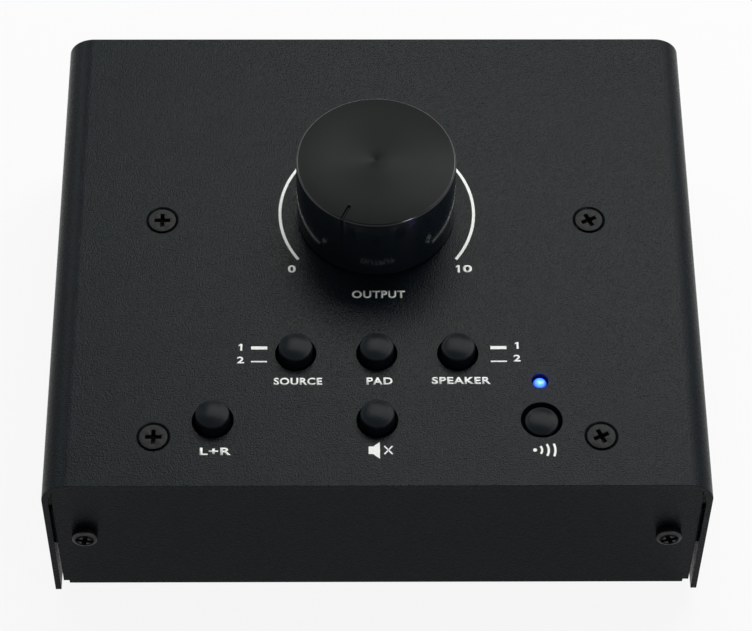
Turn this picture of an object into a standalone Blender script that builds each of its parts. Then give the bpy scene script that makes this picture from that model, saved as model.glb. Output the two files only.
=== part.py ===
"""Desktop studio monitor controller: a folded steel case with a volume knob and six push buttons.

Metres, +Z up, front towards -Y. The origin is the middle of the footprint, at floor level.
"""
import math

import bmesh
import bpy
from mathutils import Matrix, Vector

# Case
CASE_WIDTH = 0.142
CASE_DEPTH = 0.1214
COVER_HEIGHT = 0.0438
SHEET = 0.0013
COVER_BEND_RADIUS = 0.006
CHASSIS_BEND_RADIUS = 0.002
PANEL_RECESS = 0.001
WALL_GAP = 0.0006
TOP_GAP = 0.0004
COVER_OVERHANG = 0.0005
RELIEF_WIDTH = 0.00125
RELIEF_HEIGHT = 0.0017
LUG_WIDTH = 0.012
LUG_HEIGHT = 0.014
LUG_CORNER_RADIUS = 0.003

# Clearances
FIT = 0.0003
OVERRUN = 0.002

# Rubber feet
FOOT_HEIGHT = 0.0037
FOOT_RADIUS = 0.0063
FOOT_TAPER = 0.0006
FOOT_EDGE = 0.0007
FOOT_INSET = 0.014

# Places on the top plate from the case's centre, as shares of its half depth and half width
KNOB_DEPTH_SHARE = 0.173
BUTTON_FRONT_DEPTH_SHARE = -0.7315
BUTTON_REAR_DEPTH_SHARE = -0.4498
LED_DEPTH_SHARE = -0.5675
TOP_SCREW_REAR_DEPTH_SHARE = 0.1392
TOP_SCREW_FRONT_DEPTH_SHARE = -0.799
BUTTON_WIDTH_SHARE = 0.2465
TOP_SCREW_WIDTH_SHARE = 0.669

# Countersunk screws and the standoffs they hold
SCREW_RADIUS = 0.0015
CSK_HEAD_RADIUS = 0.0031
CSK_HEAD_GAP = 0.00055
CSK_RIM = 0.0002
CSK_SCREW_LENGTH = 0.009
CSK_RIGHT_TURN = math.radians(25)
RECESS_SPAN = 0.0032
RECESS_WIDTH = 0.0009
RECESS_DEPTH = 0.0013
RECESS_FLOOR_SHARE = 0.45
STANDOFF_ACROSS_FLATS = 0.0055
STANDOFF_SPIGOT_RADIUS = 0.0021

# Pan-head screws of the front and rear panels
PAN_HEAD_RADIUS = 0.0028
PAN_HEAD_HEIGHT = 0.0024
PAN_RIM_HEIGHT = 0.0008
PAN_SCREW_LENGTH = 0.006
PANEL_SCREW_INSET = 0.0068
PANEL_SCREW_HEIGHT = 0.023

# Boards
BOARD_THICKNESS = 0.0016
BOARD_CORNER_RADIUS = 0.002
CONTROL_BOARD_MARGIN = 0.0065
CONTROL_BOARD_FRONT_GAP = 0.0029
CONTROL_BOARD_REAR_GAP = 0.0041
REAR_BOARD_STAND = 0.002
REAR_BOARD_MARGIN = 0.0032
REAR_BOARD_FRONT_MARGIN = 0.0011

# Knob
KNOB_RADIUS = 0.0175
KNOB_HEIGHT = 0.01845
KNOB_LIFT = 0.0006
KNOB_CHAMFER = 0.00035
KNOB_FOOT_EDGE = 0.0002
KNOB_NUT_CLEARANCE = 0.0007
KNOB_BUSHING_CLEARANCE = 0.002
KNOB_GRIP = 0.0093
POINTER_LENGTH = 0.0041
POINTER_WIDTH = 0.0008
POINTER_DEPTH = 0.0005
POINTER_REST_ANGLE = math.radians(244.5)
SET_SCREW_LENGTH = 0.009
SET_SCREW_SOCKET = 0.0015
SET_SCREW_SOCKET_DEPTH = 0.0015

# Potentiometer
SHAFT_RADIUS = 0.003
SHAFT_FLAT_DEPTH = 0.0006
SHAFT_FLAT_LENGTH = 0.0085
SHAFT_CHAMFER = 0.0004
BUSHING_RADIUS = 0.0045
BUSHING_STAND = 0.0007
POT_RADIUS = 0.0085
POT_HEIGHT = 0.014
POT_FLOOR = 0.0035
POT_NECK_RADIUS = 0.0079
POT_NECK_HEIGHT = 0.0012
WAFER_WIDTH = 0.0155
WAFER_REACH = 0.0125
WAFER_THICKNESS = 0.0012
WAFER_HEIGHT_SHARES = (0.30, 0.72)
TERMINAL_PITCH = 0.005
TERMINAL_WIDTH = 0.001
TERMINAL_THICKNESS = 0.0004
TERMINAL_ROW_PITCH = 0.0025
POT_WASHER_RADIUS = 0.0064
POT_WASHER_THICKNESS = 0.0006
POT_NUT_ACROSS_FLATS = 0.011
POT_NUT_THICKNESS = 0.002

# Push buttons
CAP_RADIUS = 0.00365
CAP_GAP = 0.0008
CAP_CROWN = 0.0003
CAP_EDGE = 0.0003
CAP_ROOF = 0.0014
CAP_RING_SHARES = (0.6, 1.0)
CAP_SWITCH_CLEARANCE = 0.0006
BUTTON_TRAVEL = 0.0031
SWITCH_WIDTH = 0.0085
SWITCH_HEIGHT = 0.0084
SWITCH_EDGE = 0.0004
SWITCH_FLOOR = 0.0013
SLIDER_WIDTH = 0.0042
NECK_WIDTH = 0.003

# Status light
LED_RADIUS = 0.0015
LED_FLANGE_RADIUS = 0.0019
LED_FLANGE_HEIGHT = 0.0008
LED_LENGTH = 0.0053
LED_DEPTH = 0.0005
LED_GAP = 0.0003
LEAD_WIDTH = 0.0005
LEAD_PITCH = 0.00254
LEAD_TAIL = 0.001

# Wireless module on the control board
MODULE_WIDTH_SHARE = 0.4225
MODULE_REAR_MARGIN = 0.0065
MODULE_WIDTH = 0.014
MODULE_DEPTH = 0.019
MODULE_BOARD_THICKNESS = 0.001
SHIELD_WIDTH = 0.011
SHIELD_DEPTH = 0.012
SHIELD_HEIGHT = 0.0021

# Ribbon cable with its two connectors
RIBBON_WIDTH_SHARE = -0.4366
RIBBON_WIDTH = 0.0127
RIBBON_THICKNESS = 0.0009
RIBBON_PLUG_WIDTH = 0.0175
RIBBON_PLUG_DEPTH = 0.0058
RIBBON_PLUG_HEIGHT = 0.0075
RIBBON_JACK_GAP = 0.0007
RIBBON_SPAN = 0.0185
RIBBON_SLACK = 0.010

# Rear connectors
CONNECTOR_COLUMNS = 5
CONNECTOR_SIDE_MARGIN = 0.0185
CONNECTOR_EDGE = 0.0005
JACK_WIDTH = 0.0156
JACK_DEPTH = 0.026
JACK_HEADROOM = 0.0024
JACK_BORE_RADIUS = 0.0033
JACK_BORE_DEPTH = 0.024
JACK_SPACING = 0.018
JACK_BUSHING_RADIUS = 0.00475
JACK_BUSHING_STAND = 0.0003
JACK_NUT_ACROSS_FLATS = 0.0127
JACK_NUT_THICKNESS = 0.0024
PHONO_WIDTH = 0.0102
PHONO_DEPTH = 0.0115
PHONO_SPACING = 0.014
PHONO_MARGIN = 0.0078
PHONO_COLLAR_RADIUS = 0.0047
PHONO_COLLAR_STAND = 0.0012
PHONO_BARREL_RADIUS = 0.00415
PHONO_BARREL_LENGTH = 0.009
PHONO_PIN_RADIUS = 0.0017
PHONO_PIN_DEPTH = 0.0085
DC_WIDTH = 0.009
DC_DEPTH = 0.0142
DC_NOSE_RADIUS = 0.0041
DC_NOSE_MARGIN = 0.0003
DC_AXIS_HEIGHT = 0.0066
DC_BORE_RADIUS = 0.00315
DC_BORE_DEPTH = 0.0095
DC_PIN_RADIUS = 0.00105
DC_PIN_DEPTH = 0.0013

# The case's levels, from the floor up
BASE_BOTTOM = FOOT_HEIGHT + FIT
BASE_TOP = BASE_BOTTOM + SHEET
COVER_BOTTOM = BASE_BOTTOM - COVER_OVERHANG
PLATE_TOP = COVER_BOTTOM + COVER_HEIGHT
PLATE_BOTTOM = PLATE_TOP - SHEET
PANEL_TOP = PLATE_BOTTOM - TOP_GAP
PANEL_SCREW_Z = COVER_BOTTOM + PANEL_SCREW_HEIGHT

# The case's faces, from its centre
HALF_WIDTH = CASE_WIDTH / 2
HALF_DEPTH = CASE_DEPTH / 2
WALL_INNER_X = HALF_WIDTH - SHEET
PANEL_HALF_WIDTH = WALL_INNER_X - WALL_GAP
PANEL_SCREW_X = WALL_INNER_X - PANEL_SCREW_INSET
PANEL_OUTER_Y = HALF_DEPTH - PANEL_RECESS
PANEL_INNER_Y = PANEL_OUTER_Y - SHEET
SCREW_HOLE_RADIUS = SCREW_RADIUS + FIT

# Layout of the top plate
KNOB_Y = KNOB_DEPTH_SHARE * HALF_DEPTH
BUTTON_ROW_FRONT_Y = BUTTON_FRONT_DEPTH_SHARE * HALF_DEPTH
BUTTON_ROW_REAR_Y = BUTTON_REAR_DEPTH_SHARE * HALF_DEPTH
BUTTON_PITCH = BUTTON_WIDTH_SHARE * HALF_WIDTH
LED_X = 2 * BUTTON_PITCH
LED_Y = LED_DEPTH_SHARE * HALF_DEPTH
TOP_SCREW_X = TOP_SCREW_WIDTH_SHARE * HALF_WIDTH
TOP_SCREW_REAR_Y = TOP_SCREW_REAR_DEPTH_SHARE * HALF_DEPTH
TOP_SCREW_FRONT_Y = TOP_SCREW_FRONT_DEPTH_SHARE * HALF_DEPTH

# The potentiometer fills the space between the plate and the control board, and so sets the board's level
POT_TOP = PLATE_BOTTOM - FIT
POT_BORE_DEPTH = POT_HEIGHT - POT_FLOOR
STANDOFF_LENGTH = POT_HEIGHT
CONTROL_BOARD_TOP = POT_TOP - STANDOFF_LENGTH - FIT
CONTROL_BOARD_BOTTOM = CONTROL_BOARD_TOP - BOARD_THICKNESS
POT_NUT_BOTTOM = PLATE_TOP + FIT + POT_WASHER_THICKNESS + FIT
BUSHING_LENGTH = POT_NUT_BOTTOM + POT_NUT_THICKNESS + BUSHING_STAND - POT_TOP

# The countersunk screw's cone ends inside the standoff's mouth
CSK_MOUTH_RADIUS = CSK_HEAD_RADIUS + CSK_HEAD_GAP
CSK_CONE_END = PLATE_TOP - FIT - CSK_RIM - (CSK_HEAD_RADIUS - SCREW_RADIUS)
STANDOFF_MOUTH_DEPTH = max(POT_TOP - CSK_CONE_END, 0.0) + FIT
STANDOFF_MOUTH_RADIUS = SCREW_RADIUS + STANDOFF_MOUTH_DEPTH

# Knob and shaft
KNOB_BOTTOM = PLATE_TOP + KNOB_LIFT
KNOB_CAVITY_RADIUS = POT_NUT_ACROSS_FLATS / math.sqrt(3) + KNOB_NUT_CLEARANCE
KNOB_CAVITY_DEPTH = POT_TOP + BUSHING_LENGTH + KNOB_BUSHING_CLEARANCE - KNOB_BOTTOM
KNOB_SHAFT_DEPTH = KNOB_CAVITY_DEPTH + KNOB_GRIP
SET_SCREW_HEIGHT = KNOB_CAVITY_DEPTH + KNOB_GRIP / 2
SHAFT_BOTTOM = POT_TOP - POT_BORE_DEPTH + FIT
SHAFT_LENGTH = KNOB_BOTTOM + KNOB_SHAFT_DEPTH - FIT - SHAFT_BOTTOM

# A button's stack: switch on the board, slider in the switch, cap on the slider
CAP_HOLE_RADIUS = CAP_RADIUS + CAP_GAP
SWITCH_BOTTOM = CONTROL_BOARD_TOP + FIT
SWITCH_TOP = SWITCH_BOTTOM + SWITCH_HEIGHT
CAP_HEIGHT = PLATE_TOP - SWITCH_TOP - CAP_SWITCH_CLEARANCE
CAP_BOTTOM_OUT = PLATE_TOP + BUTTON_TRAVEL - CAP_HEIGHT
CAP_BORE_DEPTH = CAP_HEIGHT - CAP_ROOF
NECK_HEIGHT = CAP_BORE_DEPTH
SLIDER_TOP_OUT = CAP_BOTTOM_OUT - FIT
SLIDER_HEIGHT = SLIDER_TOP_OUT - BUTTON_TRAVEL - FIT - SWITCH_FLOOR - SWITCH_BOTTOM

# Rear connectors stand on the rear board, their faces behind the rear panel
CONNECTOR_PITCH = (CASE_WIDTH - 2 * CONNECTOR_SIDE_MARGIN) / CONNECTOR_COLUMNS
REAR_BOARD_BOTTOM = BASE_TOP + REAR_BOARD_STAND
REAR_BOARD_TOP = REAR_BOARD_BOTTOM + BOARD_THICKNESS
CONNECTOR_BOTTOM = REAR_BOARD_TOP + FIT
CONNECTOR_FACE_Y = PANEL_INNER_Y - FIT
PANEL_REACH = PANEL_OUTER_Y - CONNECTOR_FACE_Y
JACK_HEIGHT = PANEL_TOP - JACK_HEADROOM - CONNECTOR_BOTTOM
JACK_LOW_HEIGHT = (JACK_HEIGHT - JACK_SPACING) / 2
JACK_BUSHING_LENGTH = PANEL_REACH + FIT + JACK_NUT_THICKNESS + JACK_BUSHING_STAND
JACK_COLUMNS_X = (0.0, CONNECTOR_PITCH, 2 * CONNECTOR_PITCH)
PHONO_X = -CONNECTOR_PITCH
PHONO_HEIGHT = PHONO_SPACING + 2 * PHONO_MARGIN
DC_X = -2 * CONNECTOR_PITCH
DC_HEIGHT = DC_AXIS_HEIGHT + DC_NOSE_RADIUS + DC_NOSE_MARGIN

# Outlines of the boards, and the ribbon cable's ends
RIBBON_REAR_Y = CONNECTOR_FACE_Y - JACK_DEPTH - RIBBON_JACK_GAP - RIBBON_PLUG_DEPTH / 2
RIBBON_FRONT_Y = RIBBON_REAR_Y - RIBBON_SPAN
CONTROL_BOARD_HALF_WIDTH = TOP_SCREW_X + CONTROL_BOARD_MARGIN
CONTROL_BOARD_FRONT_Y = -(PANEL_INNER_Y - CONTROL_BOARD_FRONT_GAP)
CONTROL_BOARD_REAR_Y = CONNECTOR_FACE_Y - JACK_DEPTH - CONTROL_BOARD_REAR_GAP
REAR_BOARD_HALF_WIDTH = 2 * CONNECTOR_PITCH + JACK_WIDTH / 2 + REAR_BOARD_MARGIN
REAR_BOARD_FRONT_Y = RIBBON_REAR_Y - RIBBON_PLUG_DEPTH / 2 - REAR_BOARD_FRONT_MARGIN
MODULE_X = MODULE_WIDTH_SHARE * HALF_WIDTH
MODULE_Y = CONTROL_BOARD_REAR_Y - MODULE_REAR_MARGIN - MODULE_DEPTH / 2
RIBBON_X = RIBBON_WIDTH_SHARE * HALF_WIDTH

BUTTONS = (
    ("input_button", -BUTTON_PITCH, BUTTON_ROW_REAR_Y, False),
    ("dim_button", 0.0, BUTTON_ROW_REAR_Y, False),
    ("monitor_button", BUTTON_PITCH, BUTTON_ROW_REAR_Y, False),
    ("mono_button", -2 * BUTTON_PITCH, BUTTON_ROW_FRONT_Y, False),
    ("mute_button", 0.0, BUTTON_ROW_FRONT_Y, False),
    ("wireless_button", 2 * BUTTON_PITCH, BUTTON_ROW_FRONT_Y, True),
)

CORNERS = (("front_left", -1, -1), ("front_right", 1, -1), ("rear_left", -1, 1), ("rear_right", 1, 1))

# The case's centre lies off the origin, because the rear sockets reach further out than the front screws
FRONT_REACH = PANEL_OUTER_Y + FIT + PAN_HEAD_HEIGHT
REAR_REACH = PANEL_OUTER_Y + PHONO_BARREL_LENGTH
CASE_CENTRE_Y = (FRONT_REACH - REAR_REACH) / 2

# Facets
ROUND = 20
SMALL_ROUND = 12
KNOB_ROUND = 72
CAP_ROUND = 24
BEND_STEPS = 8
RIBBON_STEPS = 16
SMOOTH_ANGLE = math.radians(40)
MERGE = 0.00001


# Scene, collections and materials

def clear_scene():
    for obj in list(bpy.data.objects):
        bpy.data.objects.remove(obj, do_unlink=True)


def new_collection(name):
    collection = bpy.data.collections.new(name)
    bpy.context.scene.collection.children.link(collection)
    return collection


def new_material(name, colour, roughness, metallic=0.0):
    material = bpy.data.materials.new(name)
    material.use_nodes = True
    shader = material.node_tree.nodes["Principled BSDF"]
    shader.inputs["Base Color"].default_value = (*colour, 1.0)
    shader.inputs["Roughness"].default_value = roughness
    shader.inputs["Metallic"].default_value = metallic
    return material


clear_scene()
PARTS = new_collection("monitor_controller")
CUTTERS = new_collection("cutters")

STEEL_BLACK = new_material("textured_black_paint", (0.030, 0.034, 0.034), 0.62)
SCREW_BLACK = new_material("black_screw", (0.012, 0.012, 0.013), 0.30, 0.8)
KNOB_BLACK = new_material("black_anodised", (0.010, 0.011, 0.014), 0.25, 0.6)
BUTTON_BLACK = new_material("button_plastic", (0.020, 0.022, 0.023), 0.45)
HOUSING_BLACK = new_material("housing_plastic", (0.018, 0.018, 0.018), 0.5)
SLIDER_WHITE = new_material("slider_plastic", (0.75, 0.74, 0.70), 0.5)
BOARD_GREEN = new_material("circuit_board", (0.02, 0.16, 0.07), 0.45)
BARE_METAL = new_material("plated_metal", (0.62, 0.62, 0.60), 0.3, 1.0)
FOOT_RUBBER = new_material("foot_rubber", (0.015, 0.015, 0.015), 0.85)
RIBBON_GREY = new_material("ribbon_grey", (0.42, 0.43, 0.45), 0.55)
LED_BLUE = new_material("blue_lens", (0.10, 0.35, 1.0), 0.2)


# Making and joining shapes

def object_from(bm, name, material=None, collection=PARTS):
    bmesh.ops.recalc_face_normals(bm, faces=bm.faces)
    mesh = bpy.data.meshes.new(name)
    bm.to_mesh(mesh)
    bm.free()
    obj = bpy.data.objects.new(name, mesh)
    collection.objects.link(obj)
    if material:
        mesh.materials.append(material)
    return obj


def add_box(bm, low, high):
    """A box between two corners."""
    size = [high[i] - low[i] for i in range(3)]
    middle = [(high[i] + low[i]) / 2 for i in range(3)]
    place = Matrix.Translation(middle) @ Matrix.Diagonal((*size, 1.0))
    return bmesh.ops.create_cube(bm, size=1.0, matrix=place)["verts"]


def add_cone(bm, centre, radius_low, radius_high, low, high, segments=ROUND, axis="Z"):
    """A cylinder or cone along Z or Y, from low to high on that axis."""
    turn = Matrix.Rotation(-math.pi / 2, 4, "X") if axis == "Y" else Matrix.Identity(4)
    middle = (low + high) / 2
    place = Vector((centre[0], middle, centre[1])) if axis == "Y" else Vector((centre[0], centre[1], middle))
    result = bmesh.ops.create_cone(bm, cap_ends=True, segments=segments, radius1=radius_low,
                                   radius2=radius_high, depth=high - low,
                                   matrix=Matrix.Translation(place) @ turn)
    return result["verts"]


def add_prism(bm, across_flats, low, high):
    """A hexagonal prism along Z."""
    add_cone(bm, (0, 0), hex_radius(across_flats), hex_radius(across_flats), low, high, segments=6)


def hex_radius(across_flats):
    return across_flats / 2 / math.cos(math.pi / 6)


def cutter(bm, name):
    obj = object_from(bm, name, collection=CUTTERS)
    obj.hide_render = True
    obj.display_type = "WIRE"
    return obj


def boolean(obj, tool, operation):
    modifier = obj.modifiers.new(operation.lower(), "BOOLEAN")
    modifier.operation = operation
    modifier.object = tool
    modifier.solver = "EXACT"


def cut(obj, bm):
    boolean(obj, cutter(bm, obj.name + "_cut"), "DIFFERENCE")


def join(obj, bm):
    boolean(obj, cutter(bm, obj.name + "_join"), "UNION")


def solidify(obj, thickness):
    modifier = obj.modifiers.new("sheet", "SOLIDIFY")
    modifier.thickness = thickness
    modifier.offset = -1.0
    modifier.use_even_offset = True


def bevel(obj, width, segments, angle=math.radians(60)):
    modifier = obj.modifiers.new("edges", "BEVEL")
    modifier.width = width
    modifier.segments = segments
    modifier.limit_method = "ANGLE"
    modifier.angle_limit = angle


def turned(name, profile, material, segments=ROUND):
    """A turned piece: its profile runs down the outer side, from the axis at the top to the axis below."""
    mesh = bpy.data.meshes.new(name)
    points = [(radius, 0.0, height) for radius, height in profile]
    mesh.from_pydata(points, [(i, i + 1) for i in range(len(points) - 1)], [])
    mesh.materials.append(material)
    obj = bpy.data.objects.new(name, mesh)
    PARTS.objects.link(obj)
    modifier = obj.modifiers.new("turn", "SCREW")
    modifier.axis = "Z"
    modifier.angle = 2 * math.pi
    modifier.steps = segments
    modifier.render_steps = segments
    modifier.use_merge_vertices = True
    modifier.merge_threshold = MERGE
    modifier.use_normal_calculate = False
    return obj


def arc(centre, radius, start, end, steps):
    """Points of a circular arc."""
    points = []
    for i in range(steps + 1):
        angle = start + (end - start) * i / steps
        points.append((centre[0] + radius * math.cos(angle), centre[1] + radius * math.sin(angle)))
    return points


def bake(obj):
    """Turns the object's modifiers into its mesh, so that copies can share it."""
    evaluated = obj.evaluated_get(bpy.context.evaluated_depsgraph_get())
    mesh = bpy.data.meshes.new_from_object(evaluated)
    obj.modifiers.clear()
    obj.data = mesh
    return obj


def smooth(obj):
    bake(obj)
    obj.data.shade_smooth()
    obj.data.set_sharp_from_angle(angle=SMOOTH_ANGLE)
    return obj


def copy_of(obj, name):
    twin = bpy.data.objects.new(name, obj.data)
    PARTS.objects.link(twin)
    return twin


def empty(name, location, parent=None):
    obj = bpy.data.objects.new(name, None)
    PARTS.objects.link(obj)
    obj.location = location
    obj.parent = parent
    return obj


def place(obj, parent, location=(0, 0, 0), rotation=(0, 0, 0)):
    obj.parent = parent
    obj.location = location
    obj.rotation_euler = rotation
    return obj


def folded_sheet(name, points, along, half_width):
    """The sharp-cornered sheet before folding: a line of points, drawn out along one axis."""
    bm = bmesh.new()
    rows = []
    for side in (-1, 1):
        if along == "Y":
            rows.append([bm.verts.new((a, side * half_width, b)) for a, b in points])
        else:
            rows.append([bm.verts.new((side * half_width, a, b)) for a, b in points])
    for i in range(len(points) - 1):
        bm.faces.new((rows[0][i], rows[0][i + 1], rows[1][i + 1], rows[1][i]))
    return object_from(bm, name, STEEL_BLACK)


# Case

def screw_places():
    """The four countersunk screws, as name, x and y."""
    y_of = {-1: TOP_SCREW_FRONT_Y, 1: TOP_SCREW_REAR_Y}
    return [(corner, side * TOP_SCREW_X, y_of[end]) for corner, side, end in CORNERS]


def make_top_cover(case):
    """The U-shaped top cover with its four screw lugs."""
    line = [(-HALF_WIDTH, COVER_BOTTOM), (-HALF_WIDTH, PLATE_TOP), (HALF_WIDTH, PLATE_TOP),
            (HALF_WIDTH, COVER_BOTTOM)]
    cover = folded_sheet("top_cover", line, "Y", HALF_DEPTH)
    bevel(cover, COVER_BEND_RADIUS, BEND_STEPS)
    solidify(cover, SHEET)
    join(cover, lug_shapes())
    holes = bmesh.new()
    low = PLATE_BOTTOM - OVERRUN
    high = PLATE_TOP + OVERRUN
    add_cone(holes, (0, KNOB_Y), BUSHING_RADIUS + FIT, BUSHING_RADIUS + FIT, low, high)
    led_hole = LED_RADIUS + LED_GAP
    add_cone(holes, (LED_X, LED_Y), led_hole, led_hole, low, high, CAP_ROUND)
    for _, x, y, _ in BUTTONS:
        add_cone(holes, (x, y), CAP_HOLE_RADIUS, CAP_HOLE_RADIUS, low, high, CAP_ROUND)
    shanks = bmesh.new()
    cone_depth = CSK_MOUTH_RADIUS - SCREW_HOLE_RADIUS
    for _, x, y in screw_places():
        add_cone(holes, (x, y), SCREW_HOLE_RADIUS, CSK_MOUTH_RADIUS + FIT, PLATE_TOP - cone_depth,
                 PLATE_TOP + FIT)
        add_cone(shanks, (x, y), SCREW_HOLE_RADIUS, SCREW_HOLE_RADIUS, low, high, SMALL_ROUND)
    for side in (-1, 1):
        for end in (-1, 1):
            reach = sorted((end * (PANEL_INNER_Y - SHEET - OVERRUN), end * PANEL_INNER_Y))
            add_cone(holes, (side * PANEL_SCREW_X, PANEL_SCREW_Z), SCREW_HOLE_RADIUS, SCREW_HOLE_RADIUS,
                     reach[0], reach[1], SMALL_ROUND, "Y")
    cut(cover, holes)
    cut(cover, shanks)
    return place(smooth(cover), case)


def lug_shapes():
    """Tabs folded in from the side walls, behind the front and rear panels."""
    bm = bmesh.new()
    for side in (-1, 1):
        for end in (-1, 1):
            outer_y = end * (PANEL_INNER_Y - FIT)
            inner_y = outer_y - end * SHEET
            outer_x = side * (WALL_INNER_X + SHEET / 2)
            inner_x = side * (WALL_INNER_X - LUG_WIDTH)
            low = (min(outer_x, inner_x), min(outer_y, inner_y), PANEL_SCREW_Z - LUG_HEIGHT / 2)
            high = (max(outer_x, inner_x), max(outer_y, inner_y), PANEL_SCREW_Z + LUG_HEIGHT / 2)
            verts = add_box(bm, low, high)
            corners = [edge for edge in bm.edges
                       if all(v in verts and math.isclose(v.co.x, inner_x, abs_tol=MERGE) for v in edge.verts)
                       and not math.isclose(edge.verts[0].co.y, edge.verts[1].co.y, abs_tol=MERGE)]
            bmesh.ops.bevel(bm, geom=corners, offset=LUG_CORNER_RADIUS, segments=4, profile=0.5,
                            affect="EDGES")
    return bm


def make_chassis(case):
    """Base, front panel and rear panel from one folded sheet."""
    y = PANEL_OUTER_Y
    line = [(-y, PANEL_TOP), (-y, BASE_BOTTOM), (y, BASE_BOTTOM), (y, PANEL_TOP)]
    chassis = folded_sheet("chassis", line, "X", PANEL_HALF_WIDTH)
    mesh = bmesh.new()
    mesh.from_mesh(chassis.data)
    corners = [v for v in mesh.verts if math.isclose(v.co.z, PANEL_TOP, abs_tol=MERGE)]
    bmesh.ops.bevel(mesh, geom=corners, offset=COVER_BEND_RADIUS - SHEET, segments=6, profile=0.5,
                    affect="VERTICES")
    mesh.to_mesh(chassis.data)
    mesh.free()
    bevel(chassis, CHASSIS_BEND_RADIUS, 4)
    solidify(chassis, SHEET)
    holes = bmesh.new()
    relief_x = PANEL_HALF_WIDTH - RELIEF_WIDTH
    for side in (-1, 1):
        xs = sorted((side * relief_x, side * (PANEL_HALF_WIDTH + OVERRUN)))
        add_box(holes, (xs[0], -y - OVERRUN, BASE_BOTTOM - OVERRUN),
                (xs[1], y + OVERRUN, BASE_BOTTOM + RELIEF_HEIGHT))
        for end in (-1, 1):
            ys = sorted((end * (PANEL_INNER_Y - FIT), end * (PANEL_OUTER_Y + OVERRUN)))
            add_cone(holes, (side * PANEL_SCREW_X, PANEL_SCREW_Z), SCREW_HOLE_RADIUS, SCREW_HOLE_RADIUS,
                     ys[0], ys[1], SMALL_ROUND, "Y")
    for x, z, radius in rear_holes():
        add_cone(holes, (x, z), radius, radius, PANEL_INNER_Y - FIT, PANEL_OUTER_Y + OVERRUN, ROUND, "Y")
    cut(chassis, holes)
    return place(smooth(chassis), case)


def rear_holes():
    """Holes of the rear panel as x, z and radius."""
    holes = []
    for x in JACK_COLUMNS_X:
        for level in (0, 1):
            height = JACK_LOW_HEIGHT + level * JACK_SPACING
            holes.append((x, CONNECTOR_BOTTOM + height, JACK_BUSHING_RADIUS + FIT))
    for level in (0, 1):
        height = PHONO_MARGIN + level * PHONO_SPACING
        holes.append((PHONO_X, CONNECTOR_BOTTOM + height, PHONO_COLLAR_RADIUS + FIT))
    holes.append((DC_X, CONNECTOR_BOTTOM + DC_AXIS_HEIGHT, DC_NOSE_RADIUS + FIT))
    return holes


def make_feet(case):
    """Four rubber feet stuck under the base."""
    low = FOOT_RADIUS - FOOT_TAPER
    profile = [(0, FOOT_HEIGHT), (FOOT_RADIUS, FOOT_HEIGHT)]
    profile += arc((low - FOOT_EDGE, FOOT_EDGE), FOOT_EDGE, 0, -math.pi / 2, 2)
    profile += [(0, 0)]
    first = smooth(turned("foot_front_left", profile, FOOT_RUBBER))
    for corner, side, end in CORNERS:
        foot = first if corner == "front_left" else copy_of(first, "foot_" + corner)
        place(foot, case, (side * (HALF_WIDTH - FOOT_INSET), end * (HALF_DEPTH - FOOT_INSET), 0))


# Screws and standoffs

def cross_recess(top):
    """The tapered cross that a screwdriver enters."""
    bm = bmesh.new()
    half, arm = RECESS_SPAN / 2, RECESS_WIDTH / 2
    outline = [(half, -arm), (half, arm), (arm, arm), (arm, half), (-arm, half), (-arm, arm),
               (-half, arm), (-half, -arm), (-arm, -arm), (-arm, -half), (arm, -half), (arm, -arm)]
    face = bm.faces.new([bm.verts.new((x, y, top + RECESS_DEPTH)) for x, y in outline])
    lower = bmesh.ops.extrude_face_region(bm, geom=[face])["geom"]
    for vert in [item for item in lower if isinstance(item, bmesh.types.BMVert)]:
        taper = RECESS_FLOOR_SHARE if max(abs(vert.co.x), abs(vert.co.y)) > arm + MERGE else 1.0
        long_x = abs(vert.co.x) > arm + MERGE
        vert.co.x *= taper if long_x else 1.0
        vert.co.y *= taper if not long_x else 1.0
        vert.co.z = top - RECESS_DEPTH
    return bm


def make_top_screws(case):
    """Countersunk screws, their heads just under the plate's face."""
    slope = CSK_HEAD_RADIUS - SCREW_RADIUS
    profile = [(0, 0), (CSK_HEAD_RADIUS, 0), (CSK_HEAD_RADIUS, -CSK_RIM), (SCREW_RADIUS, -CSK_RIM - slope),
               (SCREW_RADIUS, -CSK_SCREW_LENGTH), (0, -CSK_SCREW_LENGTH)]
    first = turned("top_screw_front_left", profile, SCREW_BLACK)
    cut(first, cross_recess(0))
    smooth(first)
    for corner, x, y in screw_places():
        screw = first if corner == "front_left" else copy_of(first, "top_screw_" + corner)
        turn = CSK_RIGHT_TURN if x > 0 else 0.0
        place(screw, case, (x, y, PLATE_TOP - FIT), (0, 0, turn))


def make_standoffs(case):
    """Hexagonal standoffs between the top plate and the control board, their spigots through the board."""
    bm = bmesh.new()
    add_prism(bm, STANDOFF_ACROSS_FLATS, 0, STANDOFF_LENGTH)
    first = object_from(bm, "standoff_front_left", BARE_METAL)
    spigot = bmesh.new()
    add_cone(spigot, (0, 0), STANDOFF_SPIGOT_RADIUS, STANDOFF_SPIGOT_RADIUS, -FIT - BOARD_THICKNESS,
             SCREW_RADIUS, SMALL_ROUND)
    join(first, spigot)
    bore = bmesh.new()
    add_cone(bore, (0, 0), SCREW_HOLE_RADIUS, SCREW_HOLE_RADIUS, STANDOFF_LENGTH - CSK_SCREW_LENGTH,
             STANDOFF_LENGTH + OVERRUN, SMALL_ROUND)
    cut(first, bore)
    mouth = bmesh.new()
    add_cone(mouth, (0, 0), STANDOFF_MOUTH_RADIUS, STANDOFF_MOUTH_RADIUS,
             STANDOFF_LENGTH - STANDOFF_MOUTH_DEPTH, STANDOFF_LENGTH + OVERRUN, SMALL_ROUND)
    cut(first, mouth)
    smooth(first)
    for corner, x, y in screw_places():
        standoff = first if corner == "front_left" else copy_of(first, "standoff_" + corner)
        place(standoff, case, (x, y, CONTROL_BOARD_TOP + FIT))


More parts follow.
